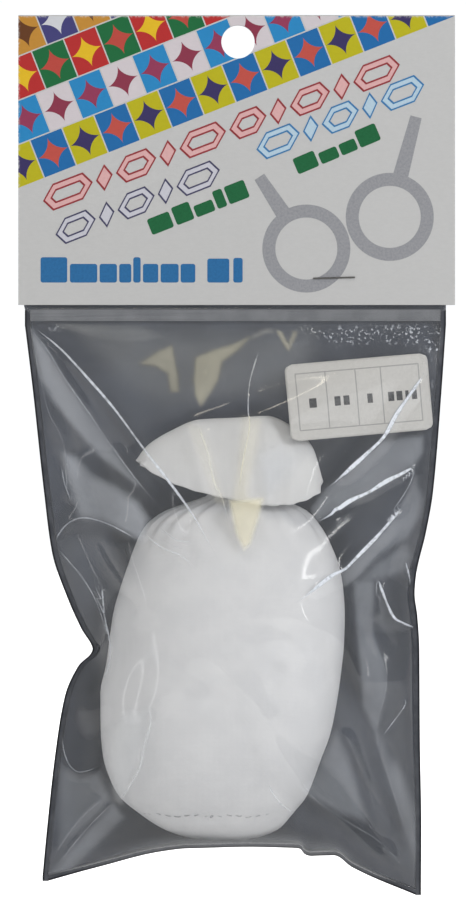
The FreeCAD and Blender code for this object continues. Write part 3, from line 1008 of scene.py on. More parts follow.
def make_tie():
    """Three turns of laid cord round the neck, knotted at the back, with two short ends."""
    laid = {"sides": 14, "strands": 3, "twist": 1.1}
    x = (TIE_LOW.x + TIE_HIGH.x) / 2
    radius = (TIE_HIGH.x - TIE_LOW.x) / 2 - 0.9
    cord = (TIE_HIGH.z - TIE_LOW.z) / 6
    turns = (TIE_HIGH.z - TIE_LOW.z - 2 * cord) / (2 * cord) + 1
    angle = np.linspace(0, 2 * np.pi * turns, int(90 * turns))
    z = np.linspace(TIE_LOW.z + cord, TIE_HIGH.z - cord, len(angle))
    wound = np.stack([x + radius * np.sin(angle), radius * np.cos(angle), z], 1)
    winding = add_tube("winding", wound, cord * 0.96, **laid)
    t = np.linspace(0, 2 * np.pi, 90, endpoint=False)
    middle = np.array([x, radius + 1.6, (TIE_LOW.z + TIE_HIGH.z) / 2])
    knot = np.stack([np.sin(t) + 2 * np.sin(2 * t), 0.7 * np.sin(3 * t), np.cos(t) - 2 * np.cos(2 * t)], 1)
    knot = middle + knot * (0.62, 0.75, 0.62)
    knot = np.concatenate([knot, knot[:1]])
    pieces = [winding, add_tube("knot", knot, cord * 0.85, **laid)]
    for side in (-1, 1):
        end = [
            middle + (side * 0.6, 0.4, -1.0),
            middle + (side * 1.8, 1.2, -3.6),
            middle + (side * 2.4, 1.8, -7.0),
            middle + (side * 3.4, 1.6, -10.5 + side),
        ]
        line = finer(np.array(end), 40, 0)
        pieces.append(add_tube(f"end{side}", line, cord * 0.85, **laid))
    return joined("tie_cord", pieces)


def make_stitches(sock_tree):
    """Short stitches across the toe, each sunk a little at its ends."""
    low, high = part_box("toe_seam")
    start, end = low.x / MM, high.x / MM
    count = 13
    pitch = (end - start) / count
    stitches = []
    for i in range(count):
        line = []
        for j in range(7):
            x = start + pitch * (i + 0.16 + 0.66 * j / 6)
            z = (low.z + high.z) / 2 / MM + 0.5 * math.sin(1.7 * i) * 0.6
            hit = surface_at(sock_tree, x, z, -1)
            rise = 0.16 * math.sin(math.pi * j / 6) - 0.08
            line.append((x, hit.y - rise, z + 0.25 * math.sin(math.pi * j / 6 + i)))
        stitches.append(add_tube(f"stitch{i}", line, 0.15 if i < 7 else 0.10, sides=8))
        if i == 6:
            x, y, z = line[-1]
            knot = [(x - 0.3, y - 0.1, z - 0.3), (x + 0.1, y - 0.35, z), (x + 0.4, y - 0.1, z + 0.35)]
            stitches.append(add_tube("knot", knot, 0.36, sides=10))
    return joined("toe_stitches", stitches)


def make_chalk():
    """Crushed chalk that fills the sock, lumpy all over."""
    grid, _ = sock_rings(64, 96, inset=CHALK_INSET)
    grid[..., 2] = np.clip(grid[..., 2], SOCK_STATIONS[0][0] + 2.5, CHALK_TOP_Z)
    away = outward(grid)
    rough = 0.5 * lumps(grid, 5.0, 8) + 0.3 * lumps(grid, 2.2, 9)
    keep = smooth((grid[..., 2] - SOCK_STATIONS[0][0] - 3) / 6)
    return close_rings("chalk_mass", grid + away * (rough * keep)[..., None])


# ---------------------------------------------------------------- bag

FILM_SIM_COLUMNS = 61
FILM_SIM_ROWS = 83
FILM_SIM_FRAMES = 26
FILM_COLUMNS = 165
FILM_ROWS = 222
BULGE_POWER = 2.5
FILM_CLEARANCE = 0.45
FILM_EASING = 10
# Shares of a film's height and width over which it settles to the zip, the foot and the sides
ZIP_FADE, FOOT_FADE, SIDE_FADE = 0.07, 0.04, 0.05
CRUMPLE_RISE = 0.3
DIMPLE_HEIGHT = 0.5
NO_CREASE = 50.0

# Creases in the front film: points (x, z), ridge height, half width of the ridge, strength of the painted
# highlight along it, partly white from stretching
FRONT_CREASES = [
    ([(-61.8, -85.2), (-53.4, -91.8), (-45, -100.8), (-36.6, -110.4), (-28.2, -121.8), (-19.8, -132.6),
      (-13.2, -141.6), (-7.8, -151.2), (-4.8, -156)], 1.2, 4.5, 0.9),
    ([(-61.8, -87), (-57.6, -91.6), (-51.6, -101.4), (-45.6, -109.8), (-39.6, -118.8), (-34.2, -126),
      (-27, -135), (-20.5, -142)], 1, 4, 0.3),
    ([(-61.6, -90), (-58.8, -103.2), (-56.4, -112.2), (-52.8, -118.8), (-50.4, -131.4),
      (-48.6, -138)], 0.8, 3.5, 0.16),
    ([(-52.9, -127.5), (-52, -132.5), (-49.8, -138.4)], 0.5, 2, 0.36),
    ([(-54.9, -150.3), (-53.4, -147), (-50.4, -144), (-46.2, -142.6), (-39.6, -144), (-34.2, -146.4),
      (-28.4, -149.8)], 1.2, 3.5, 0.44),
    ([(-54.3, -151.8), (-51, -155.4), (-47.4, -159.6), (-44.4, -163.8), (-41.4, -170),
      (-38.4, -180.2)], 1, 3.5, 0.34),
    ([(-40.7, -161.4), (-39.9, -171.2), (-38.1, -180.2), (-38.4, -186.9),
      (-40.7, -191.4)], 0.7, 2.5, 0.56),
    ([(-52.7, -200), (-52.7, -209.4), (-51.2, -215.4), (-48.2, -218.4), (-44.4, -217.7),
      (-40.4, -215.6)], 0.9, 3, 0.34),
    ([(-39.4, -225), (-47.4, -232.7), (-52.7, -240.2), (-56.7, -247.6)], 0.9, 3.5, 0.2),
    ([(-36.6, -226.4), (-42.9, -232.7), (-49.7, -240.9), (-56.2, -249.8)], 1.1, 4, 0.24),
    ([(55.8, -99.6), (51.6, -105.6), (47.4, -111.6), (43.8, -118.2), (39.6, -122.4), (33.6, -127.8),
      (28.8, -132), (25.2, -134.8)], 1.1, 4.5, 1.5),
    ([(53.6, -126.9), (48.6, -129.6), (43.8, -132), (39, -135), (33.6, -137.4), (30, -139.8),
      (28.6, -140.2), (27.6, -141.6), (22.4, -144.2)], 0.9, 2.8, 1.5),
    ([(53.2, -127.4), (51.6, -132), (49.2, -136.2), (45, -142)], 0.6, 2.4, 0.28),
    ([(49.4, -139), (41.4, -148.2), (35.4, -154.2), (31.8, -157.8), (28.8, -159), (25.2, -161.4),
      (20, -165.4), (16, -168)], 1.2, 4, 1.3),
    ([(41.6, -160.6), (44.1, -167.4), (46.4, -172.2), (48.6, -173.7), (54.4, -176.4)], 0.7, 2.2, 0.95),
    ([(50, -155.4), (51.6, -161.4), (52.4, -167.2)], 0.6, 2, 0.6),
    ([(49.2, -196.4), (50.1, -198.2), (46.4, -203.4), (42.6, -208.4)], 0.6, 2.4, 0.34),
    ([(40.4, -161.4), (39.6, -176.4), (43.4, -186.2), (44.1, -193.7), (41.1, -206.4), (44.9, -219.9),
      (48.6, -231.2), (52.4, -242.4), (54.2, -252)], 1.2, 4.5, 0.15),
    ([(30.4, -204), (35.4, -214.4), (40.4, -228), (44.4, -244)], 1, 4, 0.1),
    ([(18, -220.4), (24, -226.6), (33, -233.2), (43, -240), (52, -250.6)], 1, 4, 0.16),
    ([(6.6, -91.8), (4.8, -97.2), (3.3, -103.2), (3, -111), (3.4, -115.8), (1.2, -127.2),
      (0, -137.4)], 0.8, 3, 0.42),
    ([(-12, -114.8), (-9, -123), (-7.2, -131.4), (-4.2, -138), (-3, -145.6)], 0.7, 2.5, 0.36),
    ([(-28, -147), (-22, -151.5), (-16.5, -153.6), (-12, -158.2)], 0.6, 2.2, 0.34),
    ([(-23, -145.5), (-18, -149), (-12.5, -149.5)], 0.5, 2, 0.26),
    ([(-25.6, -198.8), (-25.9, -203.4), (-27.6, -209.4), (-29.4, -216.9),
      (-35.8, -227.4)], 0.8, 2.2, 0.46),
    ([(8.8, -220.6), (10.8, -224.4), (13.4, -227.4), (17.6, -230.2)], 0.5, 1.8, 0.34),
]
# Pale patches in the front film, painted reflections of soft lights partly milky from stretching: outline (x,
# z), softness, level, share of cream from a warm lamp's painted reflection
FRONT_HAZE_AND_REFLECTIONS = [
    ([(-62.4, -86), (-57.6, -92.2), (-51.6, -102), (-45.6, -110.4), (-39.6, -119.4), (-34.2, -126.6),
      (-30, -132.5), (-41.4, -124), (-50.6, -113.4), (-55.6, -107.2), (-58.8, -101.2)], 1.3, 0.19, 0),
    ([(-52.4, -123.4), (-50.6, -131.4), (-48.6, -138), (-47.4, -142), (-39.6, -143.6), (-28.4, -149),
      (-27, -142.8), (-30, -138), (-37.2, -133.2), (-43.8, -130.2), (-48.6, -125)], 1.8, 0.22, 0),
    ([(-54.6, -151), (-50, -148), (-30, -151), (-33, -160), (-39, -172), (-44.4, -163.8)], 2, 0.03, 0),
    ([(-53, -216.9), (-47.4, -220.7), (-41.4, -218.4), (-37.7, -225.9), (-45.2, -233.4),
      (-53.6, -241)], 1.6, 0.09, 0),
    ([(-37, -227), (-56, -249.5), (-51, -249), (-34, -231)], 1.4, 0.1, 0),
    ([(25.8, -134.4), (33.6, -128.4), (43.2, -120), (55.2, -118.2), (55.2, -123), (52.8, -126.9),
      (39.6, -134.4), (23.4, -143.4), (22, -139.8)], 1.1, 0.11, 0),
    ([(30.6, -159), (36, -153.6), (43.2, -146.4), (48.6, -139.8), (52.8, -130.2), (55.2, -137.4),
      (54, -142.8), (50.4, -148.2), (42, -153.6), (36, -160.2), (31.8, -162.6)], 1.3, 0.09, 0),
    ([(36, -161.4), (42, -156), (50.4, -150.6), (51.6, -155), (49.2, -158.4), (42, -161)], 1.4, 0.07, 0),
    ([(34.4, -161.4), (40.4, -161.4), (39.6, -176.4), (43.4, -186.2), (44.1, -193.7), (41.1, -206.4),
      (37.4, -198.9), (35.9, -180.2)], 1.2, 0.1, 0),
    ([(41.1, -207.4), (44.9, -219.9), (52.4, -242.4), (54.6, -253), (53.6, -232),
      (49, -219)], 1.6, 0.075, 0),
    ([(23.5, -217.5), (19, -223), (30, -230), (38, -233), (33, -214), (29, -206)], 1.6, 0.085, 0),
    ([(-36.2, -203.4), (-32.4, -199.7), (-25.7, -199.2), (-25.9, -203.4), (-27.6, -209.4),
      (-29.4, -216.9), (-34.7, -226.7), (-36.2, -225.9), (-37.7, -213.9)], 1.8, 0.16, 0.15),
    ([(6, -124), (13, -121), (18.5, -124.5), (13.4, -131.4), (8.6, -135.6)], 3, 0.12, 0),
    ([(-29.4, -96.6), (-24, -93), (-19.8, -91.2), (-18, -100.2), (-17.7, -105), (-20.1, -105),
      (-21, -99.6), (-24.6, -97.2)], 1, 0.17, 1),
    ([(-12.6, -94.8), (-7.8, -92.7), (-1.8, -90.9), (3.6, -88.5), (0, -92.4), (-4.8, -96), (-6, -101.4),
      (-8.4, -105.6), (-11.1, -109.2), (-12.6, -106.2), (-13.2, -101.4)], 1, 0.19, 1),
    ([(11.4, -86.7), (13.2, -87), (15, -90.6), (16.6, -87), (17.9, -87), (15.4, -92.6),
      (14.6, -92.4)], 0.5, 0.17, 1),
    ([(3.6, -88.2), (8.4, -86.2), (12.4, -86.6), (8, -87.6), (4.4, -89.6)], 0.6, 0.1, 0.5),
    ([(-54, -84.6), (-30, -85.6), (-20, -88.6), (-33, -91), (-44, -88.6)], 1.6, 0.07, 0.3),
    ([(-46, -88), (22, -88), (20, -102), (-22, -108), (-34, -101)], 5, 0.05, 0.25),
    ([(-2.4, -137.4), (7.2, -136.8), (5.8, -142.8), (3.4, -150), (1.8, -151.4),
      (-0.4, -147)], 1.2, 0.42, 1),
    ([(1.6, -113), (6.4, -113.6), (5.4, -120), (3.4, -130), (2.4, -138), (-1.4, -138),
      (0.4, -127)], 1.8, 0.15, 0.9),
    ([(-14.6, -115), (-11, -116), (-8.2, -123), (-6.2, -131.4), (-4.2, -138), (-6.4, -137.6),
      (-10, -128)], 1.6, 0.11, 0.7),
]
# Where the front film is dimpled, with painted glints on the dimples: outline (x, z), softness, share
FRONT_DIMPLES = [
    ([(18, -86), (44, -85.6), (61.8, -84.8), (62.2, -93), (58.2, -95), (56.4, -91.2), (44, -90),
      (30, -90.6)], 1.6, 0.8),
    ([(53.4, -92), (61.8, -92), (60.4, -120), (56.4, -132), (56, -110)], 1.4, 0.14),
    ([(-61.4, -83.8), (-50, -83.8), (-54, -88)], 1.2, 0.34),
]
BACK_CREASES = [
    ([(-62, -86), (-44, -106), (-24, -134), (-12, -150)], 1.2, 5, 0.5),
    ([(59, -88), (44, -108), (26, -132), (10, -150)], 1.2, 5, 0.5),
    ([(-54, -236), (-40, -226), (-30, -214)], 1, 4.5, 0.3),
    ([(51, -240), (40, -226), (29, -212)], 1, 4.5, 0.3),
    ([(-46, -182), (-38, -176), (-30, -164)], 0.9, 3.5, 0.3),
    ([(51, -166), (42, -170), (33, -182)], 0.9, 3.5, 0.3),
]
# Paler patches in the back film along its upper creases: outline (x, z), softness, level, share of cream
BACK_PALE_PATCHES = [
    ([(-60, -92), (-30, -136), (-44, -140)], 4, 0.3, 0),
    ([(56, -92), (28, -136), (42, -140)], 4, 0.3, 0),
]


def bag_edges(rows, columns, inset):
    """The bag's left, right and bottom edges, moved in by inset, as evenly spaced points (x, z)."""
    down = np.linspace(0, 1, 240)
    sides = []
    for stations, inward in ((LEFT_EDGE, inset), (RIGHT_EDGE, -inset)):
        low = stations[-1][0] + inset
        z = DRAPE_TOP_Z + (low - DRAPE_TOP_Z) * down
        sides.append(evenly(np.stack([through(z, stations) + inward, z], 1), rows))
    left, right = sides
    x = left[-1, 0] + (right[-1, 0] - left[-1, 0]) * down
    z = through(x, BOTTOM_EDGE) + inset
    z += (left[-1, 1] - z[0]) * (1 - down) + (right[-1, 1] - z[-1]) * down
    bottom = evenly(np.stack([x, z], 1), columns)
    return left, right, bottom


def edge_wave(along):
    """How far the bottom edge waves towards the back, for a share along it."""
    wave = 1.6 * np.sin(2 * np.pi * along * 1.5 + 0.6) + 0.7 * np.sin(2 * np.pi * along * 4 + 1)
    return np.sin(np.pi * along) * wave


def film_start(side, centre_tree):
    """Grid of the film below the zip before it is draped. side is -1 for the front and 1 for the back."""
    rows, columns = FILM_SIM_ROWS, FILM_SIM_COLUMNS
    left, right, bottom = bag_edges(rows, columns, SEAL_WIDTH)
    u = np.linspace(0, 1, columns)[None, :, None]
    v = np.linspace(0, 1, rows)[:, None, None]
    top = left[0] + (right[0] - left[0]) * u[0]
    patch = (
        (1 - u) * left[:, None] + u * right[:, None] + (1 - v) * top[None] + v * bottom[None]
        - ((1 - u) * (1 - v) * left[0] + u * (1 - v) * right[0] + (1 - u) * v * left[-1] + u * v * right[-1])
    )
    middle_x = (left[0, 0] + right[0, 0]) / 2
    bulge = []
    for z in patch[:, columns // 2, 1]:
        hit = surface_at(centre_tree, middle_x, z, side)
        bulge.append(abs(hit.y) if hit is not None else ZIP_FACE_Y)
    bulge = np.maximum(np.array(bulge)[:, None] - 0.2, 0)
    s = 2 * u[..., 0] - 1
    swell = bulge * (1 - np.abs(s) ** BULGE_POWER)
    gap = ZIP_FACE_Y * (1 - smooth(v[..., 0] / 0.10)) + 0.13
    grid = np.zeros((rows, columns, 3))
    grid[..., 0] = patch[..., 0]
    grid[..., 2] = patch[..., 1]
    grid[..., 1] = side * (swell + gap)
    grid[0, :, 1] = side * ZIP_FACE_Y
    return grid


def film_flat(grid):
    """The same film laid flat at its true size."""
    rows, columns = grid.shape[:2]
    drop = np.linalg.norm(np.diff(grid[:, 0], axis=0), axis=1).sum()
    width = grid[0, -1, 0] - grid[0, 0, 0]
    flat = np.zeros_like(grid)
    flat[..., 0] = grid[0, 0, 0] + width * np.linspace(0, 1, columns)[None, :]
    flat[..., 2] = grid[0, 0, 2] - drop * np.linspace(0, 1, rows)[:, None]
    return flat


def drape_film(side, grid, obstacles):
    """Settles the film over the sock by cloth simulation, with its top and its welded edges held."""
    rows, columns = grid.shape[:2]
    stir = 0.35 * lumps(grid, 8.0, 20 + side)
    stir[0, :] = stir[-1, :] = stir[:, 0] = stir[:, -1] = 0
    started = grid.copy()
    started[..., 1] += side * np.abs(stir)
    sheet = add_sheet("draping", started)
    index = np.arange(rows * columns).reshape(rows, columns)
    held = np.unique(np.concatenate([index[0], index[1], index[-1], index[:, 0], index[:, -1]]))
    found = simulate(
        sheet, held, FILM_SIM_FRAMES, gravity=(0.0, -side * 3.0, -0.6), obstacles=obstacles,
        rest=film_flat(grid).reshape(-1, 3), tension_stiffness=40.0, compression_stiffness=40.0,
        shear_stiffness=20.0, bending_stiffness=12.0, mass=0.15, quality=8, air_damping=2.0,
    )
    mesh = sheet.data
    bpy.data.objects.remove(sheet)
    bpy.data.meshes.remove(mesh)
    return softened(found.reshape(grid.shape), 3)


def clear_of(grid, side, tree, clearance, lifts):
    """Moves the film out to clear whatever the tree holds, also when that is lifted."""
    held = side * grid[..., 1]
    for lift in lifts:
        need = np.full(held.shape, -1e3)
        for i in range(grid.shape[0]):
            for j in range(grid.shape[1]):
                hit = surface_at(tree, grid[i, j, 0], grid[i, j, 2] - lift, side)
                if hit is not None and hit.y * side > 0:
                    need[i, j] = side * hit.y + clearance
        for axis in (0, 1):
            ahead, behind = np.roll(need, 1, axis), np.roll(need, -1, axis)
            need = np.maximum(need, np.maximum(ahead, behind))
        held = np.maximum(held, need)
    moved_out = grid.copy()
    moved_out[..., 1] = side * held
    return moved_out


def softened(grid, times):
    """The grid with each inner point moved towards its neighbours, times over. Its edges stay."""
    for _ in range(times):
        inner = (grid[:-2, 1:-1] + grid[2:, 1:-1] + grid[1:-1, :-2] + grid[1:-1, 2:]) / 4
        grid = grid.copy()
        grid[1:-1, 1:-1] += 0.5 * (inner - grid[1:-1, 1:-1])
    return grid


def film_top(grid, side):
    """Rows of film above the draped ones: the lip in the card, the flex under it, and the face of the zip."""
    lip_z = [LIP_HIGH.z - 0.3, -60.0, -67.0, -73.0, -77.0, CARD_LOW.z]
    flex_z = list(np.linspace(CARD_LOW.z, BAG_TOP_Z, 11)[1:])
    zip_z = list(np.linspace(BAG_TOP_Z, DRAPE_TOP_Z, 9)[1:-1])
    z = np.array(lip_z + flex_z + zip_z)
    share = smooth((CARD_LOW.z - z) / (CARD_LOW.z - BAG_TOP_Z))
    top = np.zeros((len(z), grid.shape[1], 3))
    lip = np.linspace(LIP_LOW.x + 0.3, LIP_HIGH.x - 0.3, grid.shape[1])
    wide = np.linspace(grid[0, 0, 0] - SEAL_WIDTH, grid[0, -1, 0] + SEAL_WIDTH, grid.shape[1])
    top[..., 0] = lip + (wide - lip) * share[:, None]
    top[z < BAG_TOP_Z - 0.05, :, 0] = grid[0, :, 0]
    top[..., 1] = side * ((LIP_HIGH.y - LIP_LOW.y) / 2 + 0.1 + (ZIP_FACE_Y - 0.15) * share)[:, None]
    top[..., 2] = z[:, None]
    return np.concatenate([top, grid])


def patch_share(x, z, outline, softness):
    """1 well inside an outline and 0 well outside it, with a soft edge."""
    gap = np.abs(line_distance(x, z, outline + outline[:1])[0])
    return smooth((np.where(inside(x, z, outline), gap, -gap) + softness) / (2 * softness))


def crease_film(grid, side, creases, patches):
    """Presses the creases into the film. Gives the grid and, by point, its haze with painted reflections,
    their painted warm share, its nearest crease and its painted crease highlight.
    """
    x, z = grid[..., 0], grid[..., 2]
    nearest = np.full(x.shape, NO_CREASE)
    power = np.zeros(x.shape)
    rise = np.zeros(x.shape)
    for points, height, reach, white in creases:
        line = evenly(finer(np.array(points, float), 24, 0), 24)
        gap, share = line_distance(x, z, line)
        fade = smooth(share / 0.12) * smooth((1 - share) / 0.25)
        wave = 0.84 + 0.16 * np.sin(share * 17 + len(points))
        rise = np.maximum(rise, height * fade * np.maximum(0, 1 - np.abs(gap) / reach) ** 1.25)
        closer = np.abs(gap) < np.abs(nearest)
        nearest = np.where(closer, gap, nearest)
        # Strength of the painted highlight along the nearest crease.
        power = np.where(closer, white * fade * wave * smooth((2.6 - np.abs(gap)) / 1.2), power)
    haze_and_reflection = np.zeros(x.shape)
    warm_reflection = np.zeros(x.shape)
    for points, softness, level, cream_reflection in patches:
        share = patch_share(x, z, points, softness)
        # Painted reflection in each pale patch, partly milky film.
        haze_and_reflection = np.maximum(haze_and_reflection, level * share)
        # Share of cream in the painted reflection of a warm lamp.
        warm_reflection = np.maximum(warm_reflection, cream_reflection * np.minimum(1, 3 * share))
    creased = grid.copy()
    creased[..., 1] += side * rise
    return creased, haze_and_reflection, warm_reflection, nearest, power


def make_film(name, side, obstacles, stops, bag_tree, creases, patches):
    """One film of the bag, from its lip in the card to its welded foot."""
    grid = film_start(side, bag_tree)
    grid = drape_film(side, grid, obstacles)
    grid = finer(finer(grid, FILM_ROWS, 0), FILM_COLUMNS, 1)
    lifts = (0.0, SOCK_TRAVEL / 2, SOCK_TRAVEL)
    grid = softened(clear_of(grid, side, stops, FILM_CLEARANCE, lifts), FILM_EASING)
    edge = grid.copy()
    grid, haze_and_reflection, warm_reflection, nearest, power = crease_film(grid, side, creases, patches)
    dimples = np.zeros(haze_and_reflection.shape)
    if side < 0:
        for outline, softness, share in FRONT_DIMPLES:
            found = patch_share(grid[..., 0], grid[..., 2], outline, softness)
            dimples = np.maximum(dimples, share * found)
    v = np.linspace(0, 1, FILM_ROWS)[:, None]
    u = np.linspace(0, 1, FILM_COLUMNS)[None, :]
    leaving = smooth(v / ZIP_FADE)
    grid[..., 1] = side * ZIP_FACE_Y + (grid[..., 1] - side * ZIP_FACE_Y) * leaving
    inner = smooth(v / FOOT_FADE) * smooth((1 - v) / FOOT_FADE)
    inner = inner * smooth(u / SIDE_FADE) * smooth((1 - u) / SIDE_FADE)
    crumple = CRUMPLE_RISE + 0.14 * lumps(grid, 24.0, 30 + side) + 0.07 * lumps(grid, 9.0, 32 + side)
    crumple += dimples * DIMPLE_HEIGHT * lumps(grid, 2.4, 34)
    grid[..., 1] = edge[..., 1] + (grid[..., 1] - edge[..., 1] + side * crumple) * inner
    grid = clear_of(softened(grid, 1), side, stops, FILM_CLEARANCE * 0.6, lifts)
    grid[..., 1] = side * np.maximum(side * grid[..., 1], FILM)
    wave = edge_wave(np.linspace(0, 1, FILM_COLUMNS))[None, :] * smooth((v - 0.9) / 0.1)
    grid[..., 1] += wave
    whole = film_top(grid, side)
    extra = len(whole) - FILM_ROWS
    above = ((extra, 0), (0, 0))
    piece = add_sheet(name, whole)
    for key, values in (("haze_and_reflection", haze_and_reflection), ("warm_reflection", warm_reflection), ("dimples", dimples), ("crease_glint_power", power)):
        add_attribute(piece, key, np.pad(values, above))
    add_attribute(piece, "crease", np.pad(nearest, above, constant_values=NO_CREASE))
    thicken(piece, FILM)
    return piece, whole


def make_seal(name, front, back, outwards):
    """Welded strip along one edge of the two films, from the edge outwards."""
    count = len(front)
    out = np.asarray(outwards, float)
    thick = SEAL_THICKNESS / 2
    points = []
    rims = []
    steps = (0.0, 0.35, 0.7, 1.0)
    for f, b in zip(front, back):
        middle = (f + b) / 2
        wide = max(abs(f[1] - b[1]) / 2 + FILM / 2, thick)
        for side, order in ((-1, steps), (1, steps[::-1])):
            for share in order:
                half = wide + (thick * 0.8 - wide) * share
                points.append(middle + out * (SEAL_WIDTH * share - 0.15 * (1 - share)) + (0, side * half, 0))
                rims.append(share)
    ring = 2 * len(steps)
    faces = grid_faces(count, ring, closed=True)
    faces.append(tuple(range(ring)))
    faces.append(tuple((count - 1) * ring + j for j in reversed(range(ring))))
    seal = add_object(name, points, faces, shade_smooth=False)
    add_attribute(seal, "rim", rims)
    return seal


def seal_edge(grid, column):
    """Edge of a film that a side seal follows, from the top of the bag to the corner of the foot."""
    edge = grid[grid[:, 0, 2] < BAG_TOP_Z - 0.05, column]
    top = edge[0].copy()
    top[2] = BAG_TOP_Z
    return np.vstack([top, edge, edge[-1] - (0, 0, SEAL_WIDTH)])


def label_grid(film_tree):
    """Points of the label with rounded corners, just behind the front film."""
    half_u, half_v = LABEL_SIZE[0] / 2, LABEL_SIZE[1] / 2
    rows, columns = 33, 57
    run, rise = math.cos(LABEL_TILT), math.sin(LABEL_TILT)
    grid = np.zeros((rows, columns, 3))
    for i in range(rows):
        v = half_v - 2 * half_v * i / (rows - 1)
        past = max(0.0, abs(v) - (half_v - LABEL_CORNER))
        short = LABEL_CORNER - math.sqrt(max(LABEL_CORNER**2 - past**2, 0.0))
        for j in range(columns):
            u = (half_u - short) * (2 * j / (columns - 1) - 1)
            x = LABEL_CENTRE[0] + u * run - v * rise
            z = LABEL_CENTRE[1] + u * rise + v * run
            hit = surface_at(film_tree, x, z, -1)
            grid[i, j] = (x, min(hit.y + LABEL_GAP, -0.3), z)
    return grid


# ---------------------------------------------------------------- print on the card


def round_bar(width, height, radius, steps=6):
    """Outline (u, v) of a rounded bar centred on nothing, from its lower left corner."""
    radius = min(radius, width / 2 - 0.01, height / 2 - 0.01)
    corners = (
        (width - radius, radius, -90), (width - radius, height - radius, 0),
        (radius, height - radius, 90), (radius, radius, 180),
    )
    outline = []
    for cu, cv, first in corners:
        for k in range(steps + 1):
            angle = math.radians(first + 90 * k / steps)
            outline.append((cu + radius * math.cos(angle), cv + radius * math.sin(angle)))
    return outline


def diamond(width, height, inset=0.0):
    """Outline (u, v) of a slanted diamond, moved in by inset."""
    a, b = width / 2, height / 2
    keep = 1 - inset * math.hypot(a, b) / (a * b)
    corners = ((0, -b), (a, 0), (0, b), (-a, 0))
    return [(a + u * keep + SLANT * (b + v * keep), b + v * keep) for u, v in corners]


def lozenge(width, height, inset=0.0):
    """Outline (u, v) of a slanted lozenge with cut tips, moved in by inset."""
    middle, tip = height / 2, height * 0.42
    reach = middle - inset
    side = inset * math.hypot(middle, tip) / middle
    outline = []
    far = width - tip
    for run, v in ((tip, -reach), (far, -reach), (width, 0), (far, reach), (tip, reach), (0, 0)):
        if v:
            cut = tip * inset / middle
            u = run + side - cut if run == tip else run - side + cut
        else:
            u = run + side if run == 0 else run - side
        outline.append((u + SLANT * (middle + v), middle + v))
    return outline


class Print:
    """Flat shapes printed on the card's front, collected into one mesh."""

    def __init__(self, name, start, end, lift=0.0):
        self.name = name
        self.start = np.array(start, float)
        run = np.array(end, float) - self.start
        self.length = np.linalg.norm(run)
        self.along = run / self.length
        self.across = np.array((-self.along[1], self.along[0]))
        self.back = CARD_LOW.y - lift
        self.points = []
        self.faces = []

    def at(self, u, v):
        return self.start + self.along * u + self.across * v

    def add_loops(self, outer, inner=None):
        """A plate inside one outline, or the ring between two outlines of as many points."""
        loops = [outer] if inner is None else [outer, inner]
        first = len(self.points)
        count = len(outer)
        for loop in loops:
            for y in (self.back - INK, self.back):
                for u, v in loop:
                    x, z = self.at(u, v)
                    self.points.append((x, y, z))
        ahead = [(j, (j + 1) % count) for j in range(count)]
        front, back = first, first + count
        if inner is None:
            self.faces.append(tuple(front + j for j in range(count)))
            self.faces.append(tuple(back + j for j in reversed(range(count))))
            self.faces += [(front + k, front + j, back + j, back + k) for j, k in ahead]
            return
        front_in, back_in = first + 2 * count, first + 3 * count
        for j, k in ahead:
            self.faces.append((front + j, front + k, front_in + k, front_in + j))
            self.faces.append((back + k, back + j, back_in + j, back_in + k))
            self.faces.append((front + k, front + j, back + j, back + k))
            self.faces.append((front_in + j, front_in + k, back_in + k, back_in + j))

    def done(self):
        return add_object(self.name, self.points, self.faces, shade_smooth=False)


def moved(outline, u, v):
    return [(a + u, b + v) for a, b in outline]


def outlined_blocks(names, start, end, blocks, height, stroke, line):
    """A row of lozenges drawn with a double line, and small filled diamonds between them."""
    lines = Print(names[0], start, end, lift=INK)
    bands = Print(names[1], start, end)
    u = 0.0
    for width, hollow in blocks:
        insets = (0.0, line, stroke - line, stroke) if hollow else (0.0, line)
        shape = lozenge if hollow else diamond
        loops = [moved(shape(width, height, inset), u, 0.0) for inset in insets]
        lines.add_loops(loops[0], loops[1])
        if hollow:
            bands.add_loops(loops[1], loops[2])
            lines.add_loops(loops[2], loops[3])
        else:
            bands.add_loops(loops[1])
        u += width + BLOCK_GAP
    return lines.done(), bands.done()


def solid_blocks(name, start, end, blocks):
    """A row of plain rounded blocks: (width, height, gap)."""
    row = Print(name, start, end)
    u = 0.0
    for width, height, gap in blocks:
        row.add_loops(moved(round_bar(width, height, 0.7), u, 0.0))
        u += width + gap
    return row.done()


def rings_print(name):
    """A pair of gymnastic rings on their straps."""
    drawn = Print(name, (0.0, 0.0), (1.0, 0.0))
    for x, z, top_x, top_z in RINGS:
        turn = [2 * math.pi * k / 64 for k in range(64)]
        outer, inner = (
            [(x + radius * math.cos(a), z + radius * math.sin(a)) for a in turn]
            for radius in (RING_RADIUS, RING_RADIUS - RING_BAR)
        )
        drawn.add_loops(outer, inner)
        lean = math.atan2(top_x - x, top_z - z)
        away = np.array((math.sin(lean), math.cos(lean)))
        beside = np.array((away[1], -away[0])) * STRAP / 2
        centre = np.array((x, z))
        swing = math.asin(STRAP / 2 / RING_RADIUS)
        foot = [
            centre + RING_RADIUS * np.array((math.sin(lean + a), math.cos(lean + a)))
            for a in np.linspace(swing, -swing, 7)
        ]
        top = np.array((top_x, top_z))
        drawn.add_loops([tuple(p) for p in [*foot, top - beside * 0.75, top + beside * 0.75]])
    return drawn.done()


